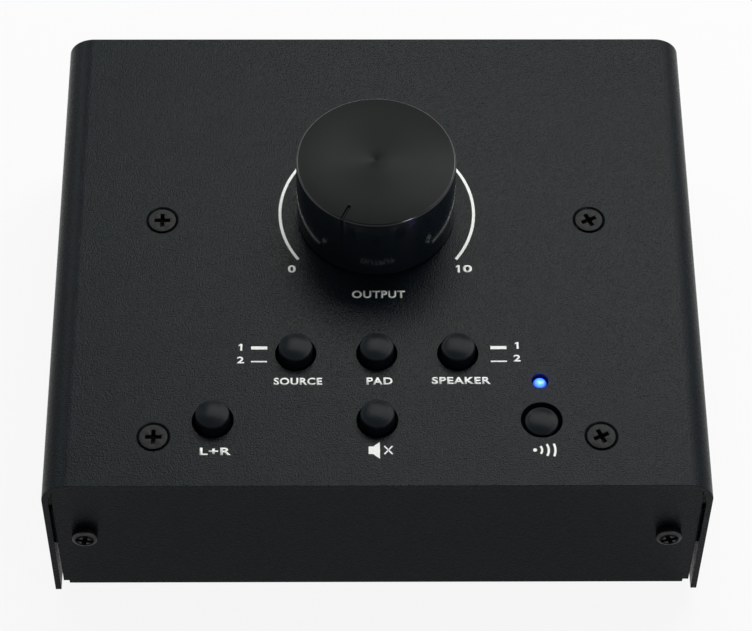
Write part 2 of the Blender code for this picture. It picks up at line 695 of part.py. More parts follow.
def make_panel_screws(case):
    """Pan-head screws through the panels into the cover's lugs."""
    dome = PAN_HEAD_HEIGHT - PAN_RIM_HEIGHT
    profile = [(0, PAN_HEAD_HEIGHT)]
    for i in range(1, 4):
        angle = math.pi / 2 * i / 3
        profile.append((PAN_HEAD_RADIUS * math.sin(angle), PAN_RIM_HEIGHT + dome * math.cos(angle)))
    profile += [(PAN_HEAD_RADIUS, 0), (SCREW_RADIUS, 0), (SCREW_RADIUS, -PAN_SCREW_LENGTH),
                (0, -PAN_SCREW_LENGTH)]
    first = turned("front_screw_left", profile, SCREW_BLACK)
    cut(first, cross_recess(PAN_HEAD_HEIGHT))
    smooth(first)
    for end, panel in ((-1, "front"), (1, "rear")):
        for side, hand in ((-1, "left"), (1, "right")):
            name = panel + "_screw_" + hand
            screw = first if name == "front_screw_left" else copy_of(first, name)
            seat = (side * PANEL_SCREW_X, end * (PANEL_OUTER_Y + FIT), PANEL_SCREW_Z)
            place(screw, case, seat, (-end * math.pi / 2, 0, 0))


# Boards

def board(name, low, high):
    """A board with rounded corners."""
    bm = bmesh.new()
    add_box(bm, low, high)
    upright = [edge for edge in bm.edges
               if not math.isclose(edge.verts[0].co.z, edge.verts[1].co.z, abs_tol=MERGE)]
    bmesh.ops.bevel(bm, geom=upright, offset=BOARD_CORNER_RADIUS, segments=3, profile=0.5, affect="EDGES")
    return object_from(bm, name, BOARD_GREEN)


def make_control_board(case):
    half = CONTROL_BOARD_HALF_WIDTH
    obj = board("control_board", (-half, CONTROL_BOARD_FRONT_Y, CONTROL_BOARD_BOTTOM),
                (half, CONTROL_BOARD_REAR_Y, CONTROL_BOARD_TOP))
    holes = bmesh.new()
    low = CONTROL_BOARD_BOTTOM - OVERRUN
    high = CONTROL_BOARD_TOP + OVERRUN
    for _, x, y in screw_places():
        add_cone(holes, (x, y), STANDOFF_SPIGOT_RADIUS + FIT, STANDOFF_SPIGOT_RADIUS + FIT, low, high,
                 SMALL_ROUND)
    for side in (-1, 1):
        reach = LEAD_WIDTH / 2 + FIT
        x = LED_X + side * LEAD_PITCH / 2
        add_box(holes, (x - reach, LED_Y - reach, low), (x + reach, LED_Y + reach, high))
    cut(obj, holes)
    return place(smooth(obj), case)


def make_rear_board(case):
    half = REAR_BOARD_HALF_WIDTH
    obj = board("rear_board", (-half, REAR_BOARD_FRONT_Y, REAR_BOARD_BOTTOM),
                (half, CONNECTOR_FACE_Y, REAR_BOARD_TOP))
    return place(smooth(obj), case)


def make_wireless_module(case):
    """A small board with a shield can and a free strip for its aerial."""
    bm = bmesh.new()
    half = MODULE_WIDTH / 2
    add_box(bm, (-half, -MODULE_DEPTH / 2, 0), (half, MODULE_DEPTH / 2, MODULE_BOARD_THICKNESS))
    obj = object_from(bm, "wireless_module", BARE_METAL)
    shield = bmesh.new()
    back = MODULE_DEPTH / 2 - (MODULE_WIDTH - SHIELD_WIDTH) / 2
    add_box(shield, (-SHIELD_WIDTH / 2, back - SHIELD_DEPTH, MODULE_BOARD_THICKNESS / 2),
            (SHIELD_WIDTH / 2, back, MODULE_BOARD_THICKNESS + SHIELD_HEIGHT))
    join(obj, shield)
    return place(smooth(obj), case, (MODULE_X, MODULE_Y, CONTROL_BOARD_TOP + FIT))


# Volume control

def make_knob(axis):
    """Turned knob: open below over the nut, bored for the shaft, a pointer groove in its top face."""
    height = KNOB_HEIGHT
    bore = SHAFT_RADIUS + FIT
    profile = [(0, height), (KNOB_RADIUS - KNOB_CHAMFER, height), (KNOB_RADIUS, height - KNOB_CHAMFER),
               (KNOB_RADIUS, KNOB_FOOT_EDGE), (KNOB_RADIUS - KNOB_FOOT_EDGE, 0), (KNOB_CAVITY_RADIUS, 0),
               (KNOB_CAVITY_RADIUS, KNOB_CAVITY_DEPTH), (bore, KNOB_CAVITY_DEPTH), (bore, KNOB_SHAFT_DEPTH),
               (0, KNOB_SHAFT_DEPTH)]
    knob = turned("volume_knob", profile, KNOB_BLACK, KNOB_ROUND)
    cut(knob, pointer_groove())
    hole = bmesh.new()
    add_cone(hole, (0, SET_SCREW_HEIGHT), SCREW_HOLE_RADIUS, SCREW_HOLE_RADIUS, -KNOB_RADIUS - OVERRUN, 0,
             SMALL_ROUND, "Y")
    bmesh.ops.rotate(hole, verts=hole.verts, cent=(0, 0, 0), matrix=Matrix.Rotation(-math.pi / 2, 3, "Z"))
    cut(knob, hole)
    return place(smooth(knob), axis, (0, 0, KNOB_BOTTOM))


def pointer_groove():
    """A groove from the rim inwards with a round inner end, along +X."""
    bm = bmesh.new()
    half = POINTER_WIDTH / 2
    inner = KNOB_RADIUS - POINTER_LENGTH + half
    outline = [(KNOB_RADIUS + OVERRUN, -half), (KNOB_RADIUS + OVERRUN, half)]
    outline += arc((inner, 0), half, math.pi / 2, 3 * math.pi / 2, 6)
    face = bm.faces.new([bm.verts.new((x, y, KNOB_HEIGHT - POINTER_DEPTH)) for x, y in outline])
    upper = bmesh.ops.extrude_face_region(bm, geom=[face])["geom"]
    for vert in [item for item in upper if isinstance(item, bmesh.types.BMVert)]:
        vert.co.z = KNOB_HEIGHT + OVERRUN
    return bm


def make_shaft(axis):
    """The potentiometer's shaft with a flat for the set screw."""
    edge = SHAFT_RADIUS - SHAFT_CHAMFER
    profile = [(0, SHAFT_LENGTH), (edge, SHAFT_LENGTH), (SHAFT_RADIUS, SHAFT_LENGTH - SHAFT_CHAMFER),
               (SHAFT_RADIUS, 0), (0, 0)]
    shaft = turned("pot_shaft", profile, BARE_METAL)
    flat = bmesh.new()
    flat_x = -(SHAFT_RADIUS - SHAFT_FLAT_DEPTH)
    add_box(flat, (-SHAFT_RADIUS - OVERRUN, -SHAFT_RADIUS - OVERRUN, SHAFT_LENGTH - SHAFT_FLAT_LENGTH),
            (flat_x, SHAFT_RADIUS + OVERRUN, SHAFT_LENGTH + OVERRUN))
    cut(shaft, flat)
    return place(smooth(shaft), axis, (0, 0, SHAFT_BOTTOM))


def make_set_screw(axis):
    """Grub screw on the shaft's flat, opposite the pointer."""
    socket = hex_radius(SET_SCREW_SOCKET)
    profile = [(0, SET_SCREW_LENGTH), (SCREW_RADIUS, SET_SCREW_LENGTH), (SCREW_RADIUS, SCREW_RADIUS / 2),
               (SCREW_RADIUS / 2, 0), (0, 0)]
    screw = turned("knob_set_screw", profile, SCREW_BLACK, SMALL_ROUND)
    hole = bmesh.new()
    add_cone(hole, (0, 0), socket, socket, SET_SCREW_LENGTH - SET_SCREW_SOCKET_DEPTH,
             SET_SCREW_LENGTH + OVERRUN, 6)
    cut(screw, hole)
    tip = SHAFT_RADIUS - SHAFT_FLAT_DEPTH + FIT
    return place(smooth(screw), axis, (-tip, 0, KNOB_BOTTOM + SET_SCREW_HEIGHT), (0, -math.pi / 2, 0))


def make_pot_body(case):
    """Dual potentiometer: can, bushing with its bore, two wafers and their terminals."""
    floor = -POT_BORE_DEPTH
    bore = SHAFT_RADIUS + FIT
    profile = [(0, floor), (bore, floor), (bore, BUSHING_LENGTH), (BUSHING_RADIUS, BUSHING_LENGTH),
               (BUSHING_RADIUS, 0), (POT_NECK_RADIUS, 0), (POT_NECK_RADIUS, -POT_NECK_HEIGHT),
               (POT_RADIUS, -POT_NECK_HEIGHT), (POT_RADIUS, -POT_HEIGHT), (0, -POT_HEIGHT)]
    body = turned("pot_body", profile, BARE_METAL, ROUND)
    for share in WAFER_HEIGHT_SHARES:
        wafer = bmesh.new()
        level = -POT_HEIGHT * share
        add_box(wafer, (-WAFER_WIDTH / 2, POT_RADIUS / 2, level - WAFER_THICKNESS),
                (WAFER_WIDTH / 2, WAFER_REACH, level))
        join(body, wafer)
    pins = bmesh.new()
    for row, share in enumerate(WAFER_HEIGHT_SHARES):
        y = WAFER_REACH - TERMINAL_WIDTH - row * TERMINAL_ROW_PITCH
        for column in (-1, 0, 1):
            x = column * TERMINAL_PITCH
            add_box(pins, (x - TERMINAL_WIDTH / 2, y - TERMINAL_THICKNESS / 2, -POT_HEIGHT),
                    (x + TERMINAL_WIDTH / 2, y + TERMINAL_THICKNESS / 2, -POT_HEIGHT * share))
    join(body, pins)
    return place(smooth(body), case, (0, KNOB_Y, POT_TOP))


def ring(name, outer, inner, thickness, material, segments):
    """A flat ring with a round hole; six segments give a hexagonal nut."""
    bm = bmesh.new()
    add_cone(bm, (0, 0), outer, outer, 0, thickness, segments)
    obj = object_from(bm, name, material)
    hole = bmesh.new()
    add_cone(hole, (0, 0), inner, inner, -OVERRUN, thickness + OVERRUN, ROUND)
    cut(obj, hole)
    return smooth(obj)


def make_pot_fixing(case):
    """Washer and nut that clamp the bushing to the top plate."""
    washer = ring("pot_washer", POT_WASHER_RADIUS, BUSHING_RADIUS + FIT, POT_WASHER_THICKNESS,
                  BARE_METAL, ROUND)
    place(washer, case, (0, KNOB_Y, PLATE_TOP + FIT))
    nut = ring("pot_nut", hex_radius(POT_NUT_ACROSS_FLATS), BUSHING_RADIUS + FIT, POT_NUT_THICKNESS,
               BARE_METAL, 6)
    place(nut, case, (0, KNOB_Y, POT_NUT_BOTTOM))


# Push buttons

def cap_shape():
    """A domed round cap with a bore for the plunger's neck."""
    bore = NECK_WIDTH / math.sqrt(2) + FIT
    inner = CAP_RADIUS - CAP_EDGE
    profile = [(0, CAP_HEIGHT)]
    for share in CAP_RING_SHARES:
        drop = CAP_CROWN * share * share
        profile.append((inner * share, CAP_HEIGHT - drop))
    profile += arc((inner, CAP_HEIGHT - CAP_CROWN - CAP_EDGE), CAP_EDGE, math.pi / 3, 0, 2)
    profile += [(CAP_RADIUS, 0), (bore, 0), (bore, CAP_BORE_DEPTH), (0, CAP_BORE_DEPTH)]
    return smooth(turned("button_cap", profile, BUTTON_BLACK, CAP_ROUND))


def plunger_shape():
    """A square slider with a narrower neck, whose shoulder carries the cap."""
    bm = bmesh.new()
    half = SLIDER_WIDTH / 2
    add_box(bm, (-half, -half, -SLIDER_HEIGHT), (half, half, 0))
    bm.faces.ensure_lookup_table()
    top = max(bm.faces, key=lambda face: face.calc_center_median().z)
    bmesh.ops.inset_region(bm, faces=[top], thickness=(SLIDER_WIDTH - NECK_WIDTH) / 2)
    raised = bmesh.ops.extrude_face_region(bm, geom=[top])["geom"]
    for vert in [item for item in raised if isinstance(item, bmesh.types.BMVert)]:
        vert.co.z += NECK_HEIGHT
    bmesh.ops.delete(bm, geom=[top], context="FACES_ONLY")
    return object_from(bm, "switch_plunger", SLIDER_WHITE)


def switch_shape():
    """The switch's housing with the square way of its slider."""
    bm = bmesh.new()
    half = SWITCH_WIDTH / 2
    add_box(bm, (-half, -half, 0), (half, half, SWITCH_HEIGHT))
    body = object_from(bm, "switch_housing", HOUSING_BLACK)
    bevel(body, SWITCH_EDGE, 1)
    way = bmesh.new()
    reach = SLIDER_WIDTH / 2 + FIT
    add_box(way, (-reach, -reach, SWITCH_FLOOR), (reach, reach, SWITCH_HEIGHT + OVERRUN))
    cut(body, way)
    return bake(body)


def make_buttons(case):
    """Six latching switches with their caps; the last one is latched in."""
    shapes = {"cap": cap_shape(), "plunger": plunger_shape(), "switch": switch_shape()}
    levels = {"cap": CAP_BOTTOM_OUT, "plunger": SLIDER_TOP_OUT, "switch": SWITCH_BOTTOM}
    for index, (name, x, y, latched) in enumerate(BUTTONS):
        for piece, shape in shapes.items():
            piece_name = name.replace("button", piece)
            obj = shape if index == 0 else copy_of(shape, piece_name)
            obj.name = piece_name
            pressed = BUTTON_TRAVEL if latched and piece != "switch" else 0.0
            place(obj, case, (x, y, levels[piece] - pressed))


def make_status_light(case):
    """A 3 mm light-emitting diode on its two leads, which pass through the board."""
    shoulder = LED_LENGTH - LED_RADIUS
    profile = [(0, LED_LENGTH)]
    profile += arc((0, shoulder), LED_RADIUS, math.radians(67.5), 0, 3)
    profile += [(LED_RADIUS, LED_FLANGE_HEIGHT), (LED_FLANGE_RADIUS, LED_FLANGE_HEIGHT),
                (LED_FLANGE_RADIUS, 0), (0, 0)]
    lens = turned("status_light", profile, LED_BLUE, SMALL_ROUND)
    bottom = PLATE_TOP - LED_DEPTH - LED_LENGTH
    leads = bmesh.new()
    for side in (-1, 1):
        x = side * LEAD_PITCH / 2
        add_box(leads, (x - LEAD_WIDTH / 2, -LEAD_WIDTH / 2, CONTROL_BOARD_BOTTOM - LEAD_TAIL - bottom),
                (x + LEAD_WIDTH / 2, LEAD_WIDTH / 2, LED_FLANGE_HEIGHT / 2))
    join(lens, leads)
    return place(smooth(lens), case, (LED_X, LED_Y, bottom))


# Ribbon cable

def make_ribbon_cable(case):
    """A flat cable in an S curve between a plug on each board."""
    start = Vector((RIBBON_REAR_Y, REAR_BOARD_TOP + FIT + RIBBON_PLUG_HEIGHT - RIBBON_THICKNESS))
    end = Vector((RIBBON_FRONT_Y, CONTROL_BOARD_BOTTOM - FIT - RIBBON_PLUG_HEIGHT + RIBBON_THICKNESS))
    bend = Vector((0, RIBBON_SLACK))
    points = []
    for i in range(RIBBON_STEPS + 1):
        t = i / RIBBON_STEPS
        point = ((1 - t) ** 3 * start + 3 * t * (1 - t) ** 2 * (start + bend)
                 + 3 * t * t * (1 - t) * (end - bend) + t ** 3 * end)
        points.append((point.x, point.y))
    bm = bmesh.new()
    rows = [[bm.verts.new((side * RIBBON_WIDTH / 2, y, z)) for y, z in points] for side in (-1, 1)]
    for i in range(RIBBON_STEPS):
        bm.faces.new((rows[0][i], rows[0][i + 1], rows[1][i + 1], rows[1][i]))
    cable = object_from(bm, "ribbon_cable", RIBBON_GREY)
    solidify(cable, RIBBON_THICKNESS)
    cable.modifiers["sheet"].offset = 0.0
    low = REAR_BOARD_TOP + FIT
    high = CONTROL_BOARD_BOTTOM - FIT
    for y, bottom, top in ((RIBBON_REAR_Y, low, low + RIBBON_PLUG_HEIGHT),
                           (RIBBON_FRONT_Y, high - RIBBON_PLUG_HEIGHT, high)):
        plug = bmesh.new()
        add_box(plug, (-RIBBON_PLUG_WIDTH / 2, y - RIBBON_PLUG_DEPTH / 2, bottom),
                (RIBBON_PLUG_WIDTH / 2, y + RIBBON_PLUG_DEPTH / 2, top))
        join(cable, plug)
    return place(smooth(cable), case, (RIBBON_X, 0, 0))


# Rear connectors

def make_jacks(case):
    """Stacked pairs of 6.35 mm jacks, each with a nut on its two bushings."""
    bm = bmesh.new()
    half = JACK_WIDTH / 2
    add_box(bm, (-half, -JACK_DEPTH, 0), (half, 0, JACK_HEIGHT))
    first = object_from(bm, "jack_pair_1", HOUSING_BLACK)
    bevel(first, CONNECTOR_EDGE, 1)
    levels = [JACK_LOW_HEIGHT + level * JACK_SPACING for level in (0, 1)]
    bushings = bmesh.new()
    bores = bmesh.new()
    for z in levels:
        add_cone(bushings, (0, z), JACK_BUSHING_RADIUS, JACK_BUSHING_RADIUS, -JACK_WIDTH / 4,
                 JACK_BUSHING_LENGTH, ROUND, "Y")
        add_cone(bores, (0, z), JACK_BORE_RADIUS, JACK_BORE_RADIUS, JACK_BUSHING_LENGTH - JACK_BORE_DEPTH,
                 JACK_BUSHING_LENGTH + OVERRUN, SMALL_ROUND, "Y")
    join(first, bushings)
    cut(first, bores)
    smooth(first)
    nut_shape = ring("jack_nut_1_low", hex_radius(JACK_NUT_ACROSS_FLATS), JACK_BUSHING_RADIUS + FIT,
                     JACK_NUT_THICKNESS, BARE_METAL, 6)
    for index, x in enumerate(JACK_COLUMNS_X, start=1):
        jack = first if index == 1 else copy_of(first, "jack_pair_%d" % index)
        place(jack, case, (x, CONNECTOR_FACE_Y, CONNECTOR_BOTTOM))
        for level, height in enumerate(("low", "high")):
            name = "jack_nut_%d_%s" % (index, height)
            nut = nut_shape if name == "jack_nut_1_low" else copy_of(nut_shape, name)
            seat = (x, PANEL_OUTER_Y + FIT, CONNECTOR_BOTTOM + levels[level])
            place(nut, case, seat, (-math.pi / 2, 0, 0))


def make_phono_sockets(case):
    """A stacked pair of phono sockets, their barrels standing out of the rear panel."""
    bm = bmesh.new()
    half = PHONO_WIDTH / 2
    add_box(bm, (-half, -PHONO_DEPTH, 0), (half, 0, PHONO_HEIGHT))
    obj = object_from(bm, "phono_sockets", HOUSING_BLACK)
    bevel(obj, CONNECTOR_EDGE, 1)
    tip = PANEL_REACH + PHONO_BARREL_LENGTH
    collars = bmesh.new()
    barrels = bmesh.new()
    pins = bmesh.new()
    for level in (0, 1):
        z = PHONO_MARGIN + level * PHONO_SPACING
        add_cone(collars, (0, z), PHONO_COLLAR_RADIUS, PHONO_COLLAR_RADIUS, -CONNECTOR_EDGE - OVERRUN,
                 PANEL_REACH + PHONO_COLLAR_STAND, ROUND, "Y")
        add_cone(barrels, (0, z), PHONO_BARREL_RADIUS, PHONO_BARREL_RADIUS, 0, tip, ROUND, "Y")
        add_cone(pins, (0, z), PHONO_PIN_RADIUS, PHONO_PIN_RADIUS, tip - PHONO_PIN_DEPTH, tip + OVERRUN,
                 SMALL_ROUND, "Y")
    join(obj, collars)
    join(obj, barrels)
    cut(obj, pins)
    return place(smooth(obj), case, (PHONO_X, CONNECTOR_FACE_Y, CONNECTOR_BOTTOM))


def make_dc_inlet(case):
    """Low-voltage inlet: a round socket with a centre pin."""
    bm = bmesh.new()
    half = DC_WIDTH / 2
    add_box(bm, (-half, -DC_DEPTH, 0), (half, 0, DC_HEIGHT))
    obj = object_from(bm, "dc_inlet", HOUSING_BLACK)
    nose = bmesh.new()
    add_cone(nose, (0, DC_AXIS_HEIGHT), DC_NOSE_RADIUS, DC_NOSE_RADIUS, -OVERRUN, PANEL_REACH, ROUND, "Y")
    join(obj, nose)
    bore = bmesh.new()
    floor = PANEL_REACH - DC_BORE_DEPTH
    add_cone(bore, (0, DC_AXIS_HEIGHT), DC_BORE_RADIUS, DC_BORE_RADIUS, floor, PANEL_REACH + OVERRUN,
             SMALL_ROUND, "Y")
    cut(obj, bore)
    pin = bmesh.new()
    add_cone(pin, (0, DC_AXIS_HEIGHT), DC_PIN_RADIUS, DC_PIN_RADIUS, floor - OVERRUN / 2,
             PANEL_REACH - DC_PIN_DEPTH, SMALL_ROUND, "Y")
    join(obj, pin)
    return place(smooth(obj), case, (DC_X, CONNECTOR_FACE_Y, CONNECTOR_BOTTOM))


# Assembly

def build():
    case = empty("case_centre", (0, CASE_CENTRE_Y, 0))
    make_top_cover(case)
    make_chassis(case)
    make_feet(case)
    make_top_screws(case)
    make_standoffs(case)
    make_panel_screws(case)
    make_control_board(case)
    make_rear_board(case)
    make_wireless_module(case)
    knob_axis = empty("knob_axis", (0, KNOB_Y, 0), case)
    knob_axis.rotation_euler = (0, 0, POINTER_REST_ANGLE)
    make_knob(knob_axis)
    make_shaft(knob_axis)
    make_set_screw(knob_axis)
    make_pot_body(case)
    make_pot_fixing(case)
    make_buttons(case)
    make_status_light(case)
    make_ribbon_cable(case)
    make_jacks(case)
    make_phono_sockets(case)
    make_dc_inlet(case)


build()
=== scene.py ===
"""Looks of the desktop studio monitor controller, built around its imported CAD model.

Metres, in the model's frame: +Z up, front towards -Y, floor at z = 0.
"""

import math

import bmesh
import bpy
from mathutils import Matrix, Vector


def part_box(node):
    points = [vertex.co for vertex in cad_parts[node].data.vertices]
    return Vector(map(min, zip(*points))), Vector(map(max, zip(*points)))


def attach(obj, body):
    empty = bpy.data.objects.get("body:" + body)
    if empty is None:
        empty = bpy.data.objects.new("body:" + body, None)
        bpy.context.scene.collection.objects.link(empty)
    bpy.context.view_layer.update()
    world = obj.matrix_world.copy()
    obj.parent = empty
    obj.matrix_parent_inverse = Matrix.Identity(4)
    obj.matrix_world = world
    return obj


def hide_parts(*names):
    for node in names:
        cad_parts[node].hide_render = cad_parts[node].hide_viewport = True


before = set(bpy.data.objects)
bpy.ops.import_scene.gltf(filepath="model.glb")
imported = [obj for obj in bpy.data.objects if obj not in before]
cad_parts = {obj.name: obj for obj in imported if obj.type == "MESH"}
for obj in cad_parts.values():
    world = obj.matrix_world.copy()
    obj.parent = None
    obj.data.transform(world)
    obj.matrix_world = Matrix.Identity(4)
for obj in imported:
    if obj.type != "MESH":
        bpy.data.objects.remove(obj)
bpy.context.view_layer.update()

# Sizes taken from the frame
COVER_LOW, COVER_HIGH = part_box("top_cover")
CHASSIS_LOW, CHASSIS_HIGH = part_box("chassis")
KNOB_LOW, KNOB_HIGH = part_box("volume_knob")
CASE_Y = (COVER_LOW.y + COVER_HIGH.y) / 2
PLATE = COVER_HIGH.z
PANEL_FACE = 0.0597
FRONT_FACE = CASE_Y - PANEL_FACE
REAR_FACE = CASE_Y + PANEL_FACE

# Sheet metal
SHEET = 0.0013
COVER_BEND = 0.006
CHASSIS_BEND = 0.0009
PANEL_CORNER = 0.0047
RELIEF_WIDTH = 0.00125
RELIEF_HEIGHT = 0.0017
LUG_WIDTH = 0.012
LUG_HEIGHT = 0.014
LUG_FACE = 0.0581
PAINT_EDGE = 0.00016
OVERRUN = 0.002
SLACK = 0.0003

# Controls
CAP_HOLE = 0.00445
CAP_RADIUS = 0.00365
LIGHT_HOLE = 0.0018
BUSHING_HOLE = 0.0048
SCREW_RADIUS = 0.0015
HEAD_RADIUS = 0.003
COUNTERSINK = 0.00365
PAN_RADIUS = 0.0028
PAN_HEIGHT = 0.0018
PANEL_SCREW = (0.0629, 0.0265)
KNOB_RADIUS = 0.0175
KNOB_CAVITY = 0.00705
KNOB_HUB = 0.0055
SHAFT_HOLE = 0.0033
POINTER_ANGLE = math.radians(244.5)

# Rear connectors
NUT_HOLE = 0.00505
NUT_FLATS = 0.0127
NUT_HEIGHT = 0.0024
JACK_BORE = 0.0033
THREAD_RADIUS = 0.0047
THREAD_ROOT = 0.00445
THREAD_PITCH = 0.0006
PHONO_HOLE = 0.005
PHONO_LOWEST = 0.0078
PHONO_PITCH = 0.014
DC_HOLE = 0.0044
DC_NOSE = 0.0041
DC_BORE = 0.00315
DC_DEPTH = 0.0095
DC_HEIGHT = 0.0066

CORNERS = ("front_left", "front_right", "rear_left", "rear_right")
BUTTONS = ("input", "dim", "monitor", "mono", "mute", "wireless")


def centre(node):
    low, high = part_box(node)
    return (low + high) / 2


KNOB_CENTRE = Vector((0.0, centre("pot_nut").y, KNOB_LOW.z))
LIGHT = centre("status_light")


# Materials

def linear(red, green, blue):
    """A colour as it is seen on a screen, 0 to 255, as the shader's linear values."""
    out = []
    for value in (red, green, blue):
        share = value / 255
        out.append(share / 12.92 if share <= 0.04045 else ((share + 0.055) / 1.055) ** 2.4)
    return (*out, 1.0)


class Shader:
    """A Principled material whose nodes are added one by one."""

    def __init__(self, name, colour, roughness, metallic=0.0, specular=0.5):
        self.material = bpy.data.materials.new(name)
        self.material.use_nodes = True
        self.tree = self.material.node_tree
        self.bsdf = self.tree.nodes["Principled BSDF"]
        self.colour = colour
        self.set("Base Color", colour)
        self.set("Roughness", roughness)
        self.set("Metallic", metallic)
        self.set("Specular IOR Level", specular)
        self.coords = self.node("ShaderNodeTexCoord").outputs["Object"]

    def set(self, socket, value):
        self.bsdf.inputs[socket].default_value = value

    def node(self, kind, **values):
        node = self.tree.nodes.new(kind)
        for name, value in values.items():
            if name in node.inputs:
                node.inputs[name].default_value = value
            else:
                setattr(node, name, value)
        return node

    def link(self, source, target):
        self.tree.links.new(source, target)

    def noise(self, size, detail=3.0, rough=0.55, stretch=None):
        """Noise whose features have about this size in metres."""
        noise = self.node("ShaderNodeTexNoise")
        noise.inputs["Scale"].default_value = 1.0 / size
        noise.inputs["Detail"].default_value = detail
        noise.inputs["Roughness"].default_value = rough
        source = self.coords
        if stretch:
            mapping = self.node("ShaderNodeMapping")
            mapping.inputs["Scale"].default_value = stretch
            self.link(source, mapping.inputs["Vector"])
            source = mapping.outputs["Vector"]
        self.link(source, noise.inputs["Vector"])
        return noise.outputs["Fac"]

    def spread(self, source, low, high, start=0.3, end=0.7):
        """Maps a 0 to 1 value to a range."""
        span = self.node("ShaderNodeMapRange")
        for socket, value in zip(("From Min", "From Max", "To Min", "To Max"), (start, end, low, high)):
            span.inputs[socket].default_value = value
        self.link(source, span.inputs["Value"])
        return span.outputs["Result"]

    def tint(self, source, dark, light):
        """Varies the base colour between two shares of itself."""
        mix = self.node("ShaderNodeMix", data_type="RGBA")
        colour_sockets = [s for s in mix.inputs if s.type == "RGBA"]
        colour_sockets[0].default_value = (*[c * dark for c in self.colour[:3]], 1.0)
        colour_sockets[1].default_value = (*[c * light for c in self.colour[:3]], 1.0)
        self.link(self.spread(source, 0.0, 1.0), mix.inputs["Factor"])
        result = [s for s in mix.outputs if s.type == "RGBA"][0]
        self.link(result, self.bsdf.inputs["Base Color"])
        return self

    def rough(self, source, low, high):
        self.link(self.spread(source, low, high), self.bsdf.inputs["Roughness"])
        return self

    def bump(self, *layers):
        """Bumps as pairs of a height source and a depth in metres."""
        normal = None
        for source, depth in layers:
            bump = self.node("ShaderNodeBump")
            bump.inputs["Strength"].default_value = 1.0
            bump.inputs["Distance"].default_value = depth
            self.link(source, bump.inputs["Height"])
            if normal:
                self.link(normal, bump.inputs["Normal"])
            normal = bump.outputs["Normal"]
        self.link(normal, self.bsdf.inputs["Normal"])
        return self


def powder_coat():
    shader = Shader("powder_coat", (0.0039, 0.0064, 0.0086, 1.0), 0.25, specular=0.066)
    shader.tint(shader.noise(0.006), 0.86, 1.14)
    shader.rough(shader.noise(0.0007), 0.21, 0.30)
    shader.bump((shader.noise(0.00034, 1.0), 0.00009), (shader.noise(0.0011, 2.0), 0.00003))
    return shader.material


def moulded(name, colour, roughness, specular=0.4, grain=0.00012, depth=0.000004):
    """Moulded plastic with a fine spark-eroded grain."""
    shader = Shader(name, colour, roughness, specular=specular)
    shader.tint(shader.noise(0.002), 0.92, 1.08)
    shader.rough(shader.noise(0.0006), roughness - 0.05, roughness + 0.05)
    shader.bump((shader.noise(grain), depth))
    return shader.material


def metal(name, colour, roughness, grain=0.0006, depth=0.000003, stretch=None):
    shader = Shader(name, colour, roughness, metallic=1.0)
    shader.tint(shader.noise(0.0015), 0.9, 1.08)
    shader.rough(shader.noise(grain), roughness - 0.06, roughness + 0.08)
    shader.bump((shader.noise(grain / 3, stretch=stretch), depth))
    return shader.material


def radius_of(shader):
    """Distance from the object's own Z axis."""
    split = shader.node("ShaderNodeSeparateXYZ")
    shader.link(shader.coords, split.inputs["Vector"])
    join = shader.node("ShaderNodeCombineXYZ")
    for axis in "XY":
        shader.link(split.outputs[axis], join.inputs[axis])
    length = shader.node("ShaderNodeVectorMath", operation="LENGTH")
    shader.link(join.outputs["Vector"], length.inputs[0])
    return length.outputs["Value"]


def turned_marks(shader, pitch):
    """Fine rings of uneven depth round the object's Z axis."""
    rings = shader.node("ShaderNodeTexNoise", noise_dimensions="1D")
    rings.inputs["Scale"].default_value = 1.0 / pitch
    rings.inputs["Detail"].default_value = 4.0
    shader.link(radius_of(shader), rings.inputs["W"])
    return rings.outputs["Fac"]


def knob_side():
    shader = Shader("knob_side", (0.0088, 0.0125, 0.0165, 1.0), 0.14, specular=0.55)
    shader.tint(shader.noise(0.004), 0.9, 1.1)
    shader.rough(shader.noise(0.0012, stretch=(1.0, 1.0, 12.0)), 0.13, 0.2)
    return shader.material


def knob_edge_painted_shade():
    """Turned edge between the knob's side and top, in a darker copy of the side's black: painted shade for
    the dark surroundings that it reflects.
    """
    shader = Shader("knob_edge_painted_shade", (0.0022, 0.0030, 0.0036, 1.0), 0.13, specular=0.5)
    shader.tint(shader.noise(0.002), 0.9, 1.1)
    shader.rough(shader.noise(0.0008), 0.1, 0.16)
    return shader.material


def knob_top():
    shader = Shader("knob_top", (0.0058, 0.0065, 0.0067, 1.0), 0.36, metallic=0.8, specular=0.06)
    shader.set("Anisotropic", 0.8)
    shader.set("Anisotropic Rotation", 0.25)
    rings = turned_marks(shader, 0.00012)
    shader.tint(rings, 0.88, 1.12)
    shader.rough(turned_marks(shader, 0.0003), 0.34, 0.4)
    shader.bump((rings, 0.0000006))
    tangent = shader.node("ShaderNodeTangent", direction_type="RADIAL", axis="Z")
    shader.link(tangent.outputs["Tangent"], shader.bsdf.inputs["Tangent"])
    return shader.material


def light_lens():
    """Blue lens: bright over the chip, deep blue towards its rim."""
    shader = Shader("blue_lens", linear(40, 90, 230), 0.15)
    reach = shader.spread(radius_of(shader), 0.0, 1.0, 0.0009, 0.0015)
    ramp = shader.node("ShaderNodeValToRGB")
    ramp.color_ramp.elements[0].color = linear(98, 168, 255)
    ramp.color_ramp.elements[1].color = linear(16, 20, 150)
    middle = ramp.color_ramp.elements.new(0.45)
    middle.color = linear(70, 120, 250)
    shader.link(reach, ramp.inputs["Fac"])
    shader.link(ramp.outputs["Color"], shader.bsdf.inputs["Emission Color"])
    shader.set("Emission Strength", 1.0)
    return shader.material


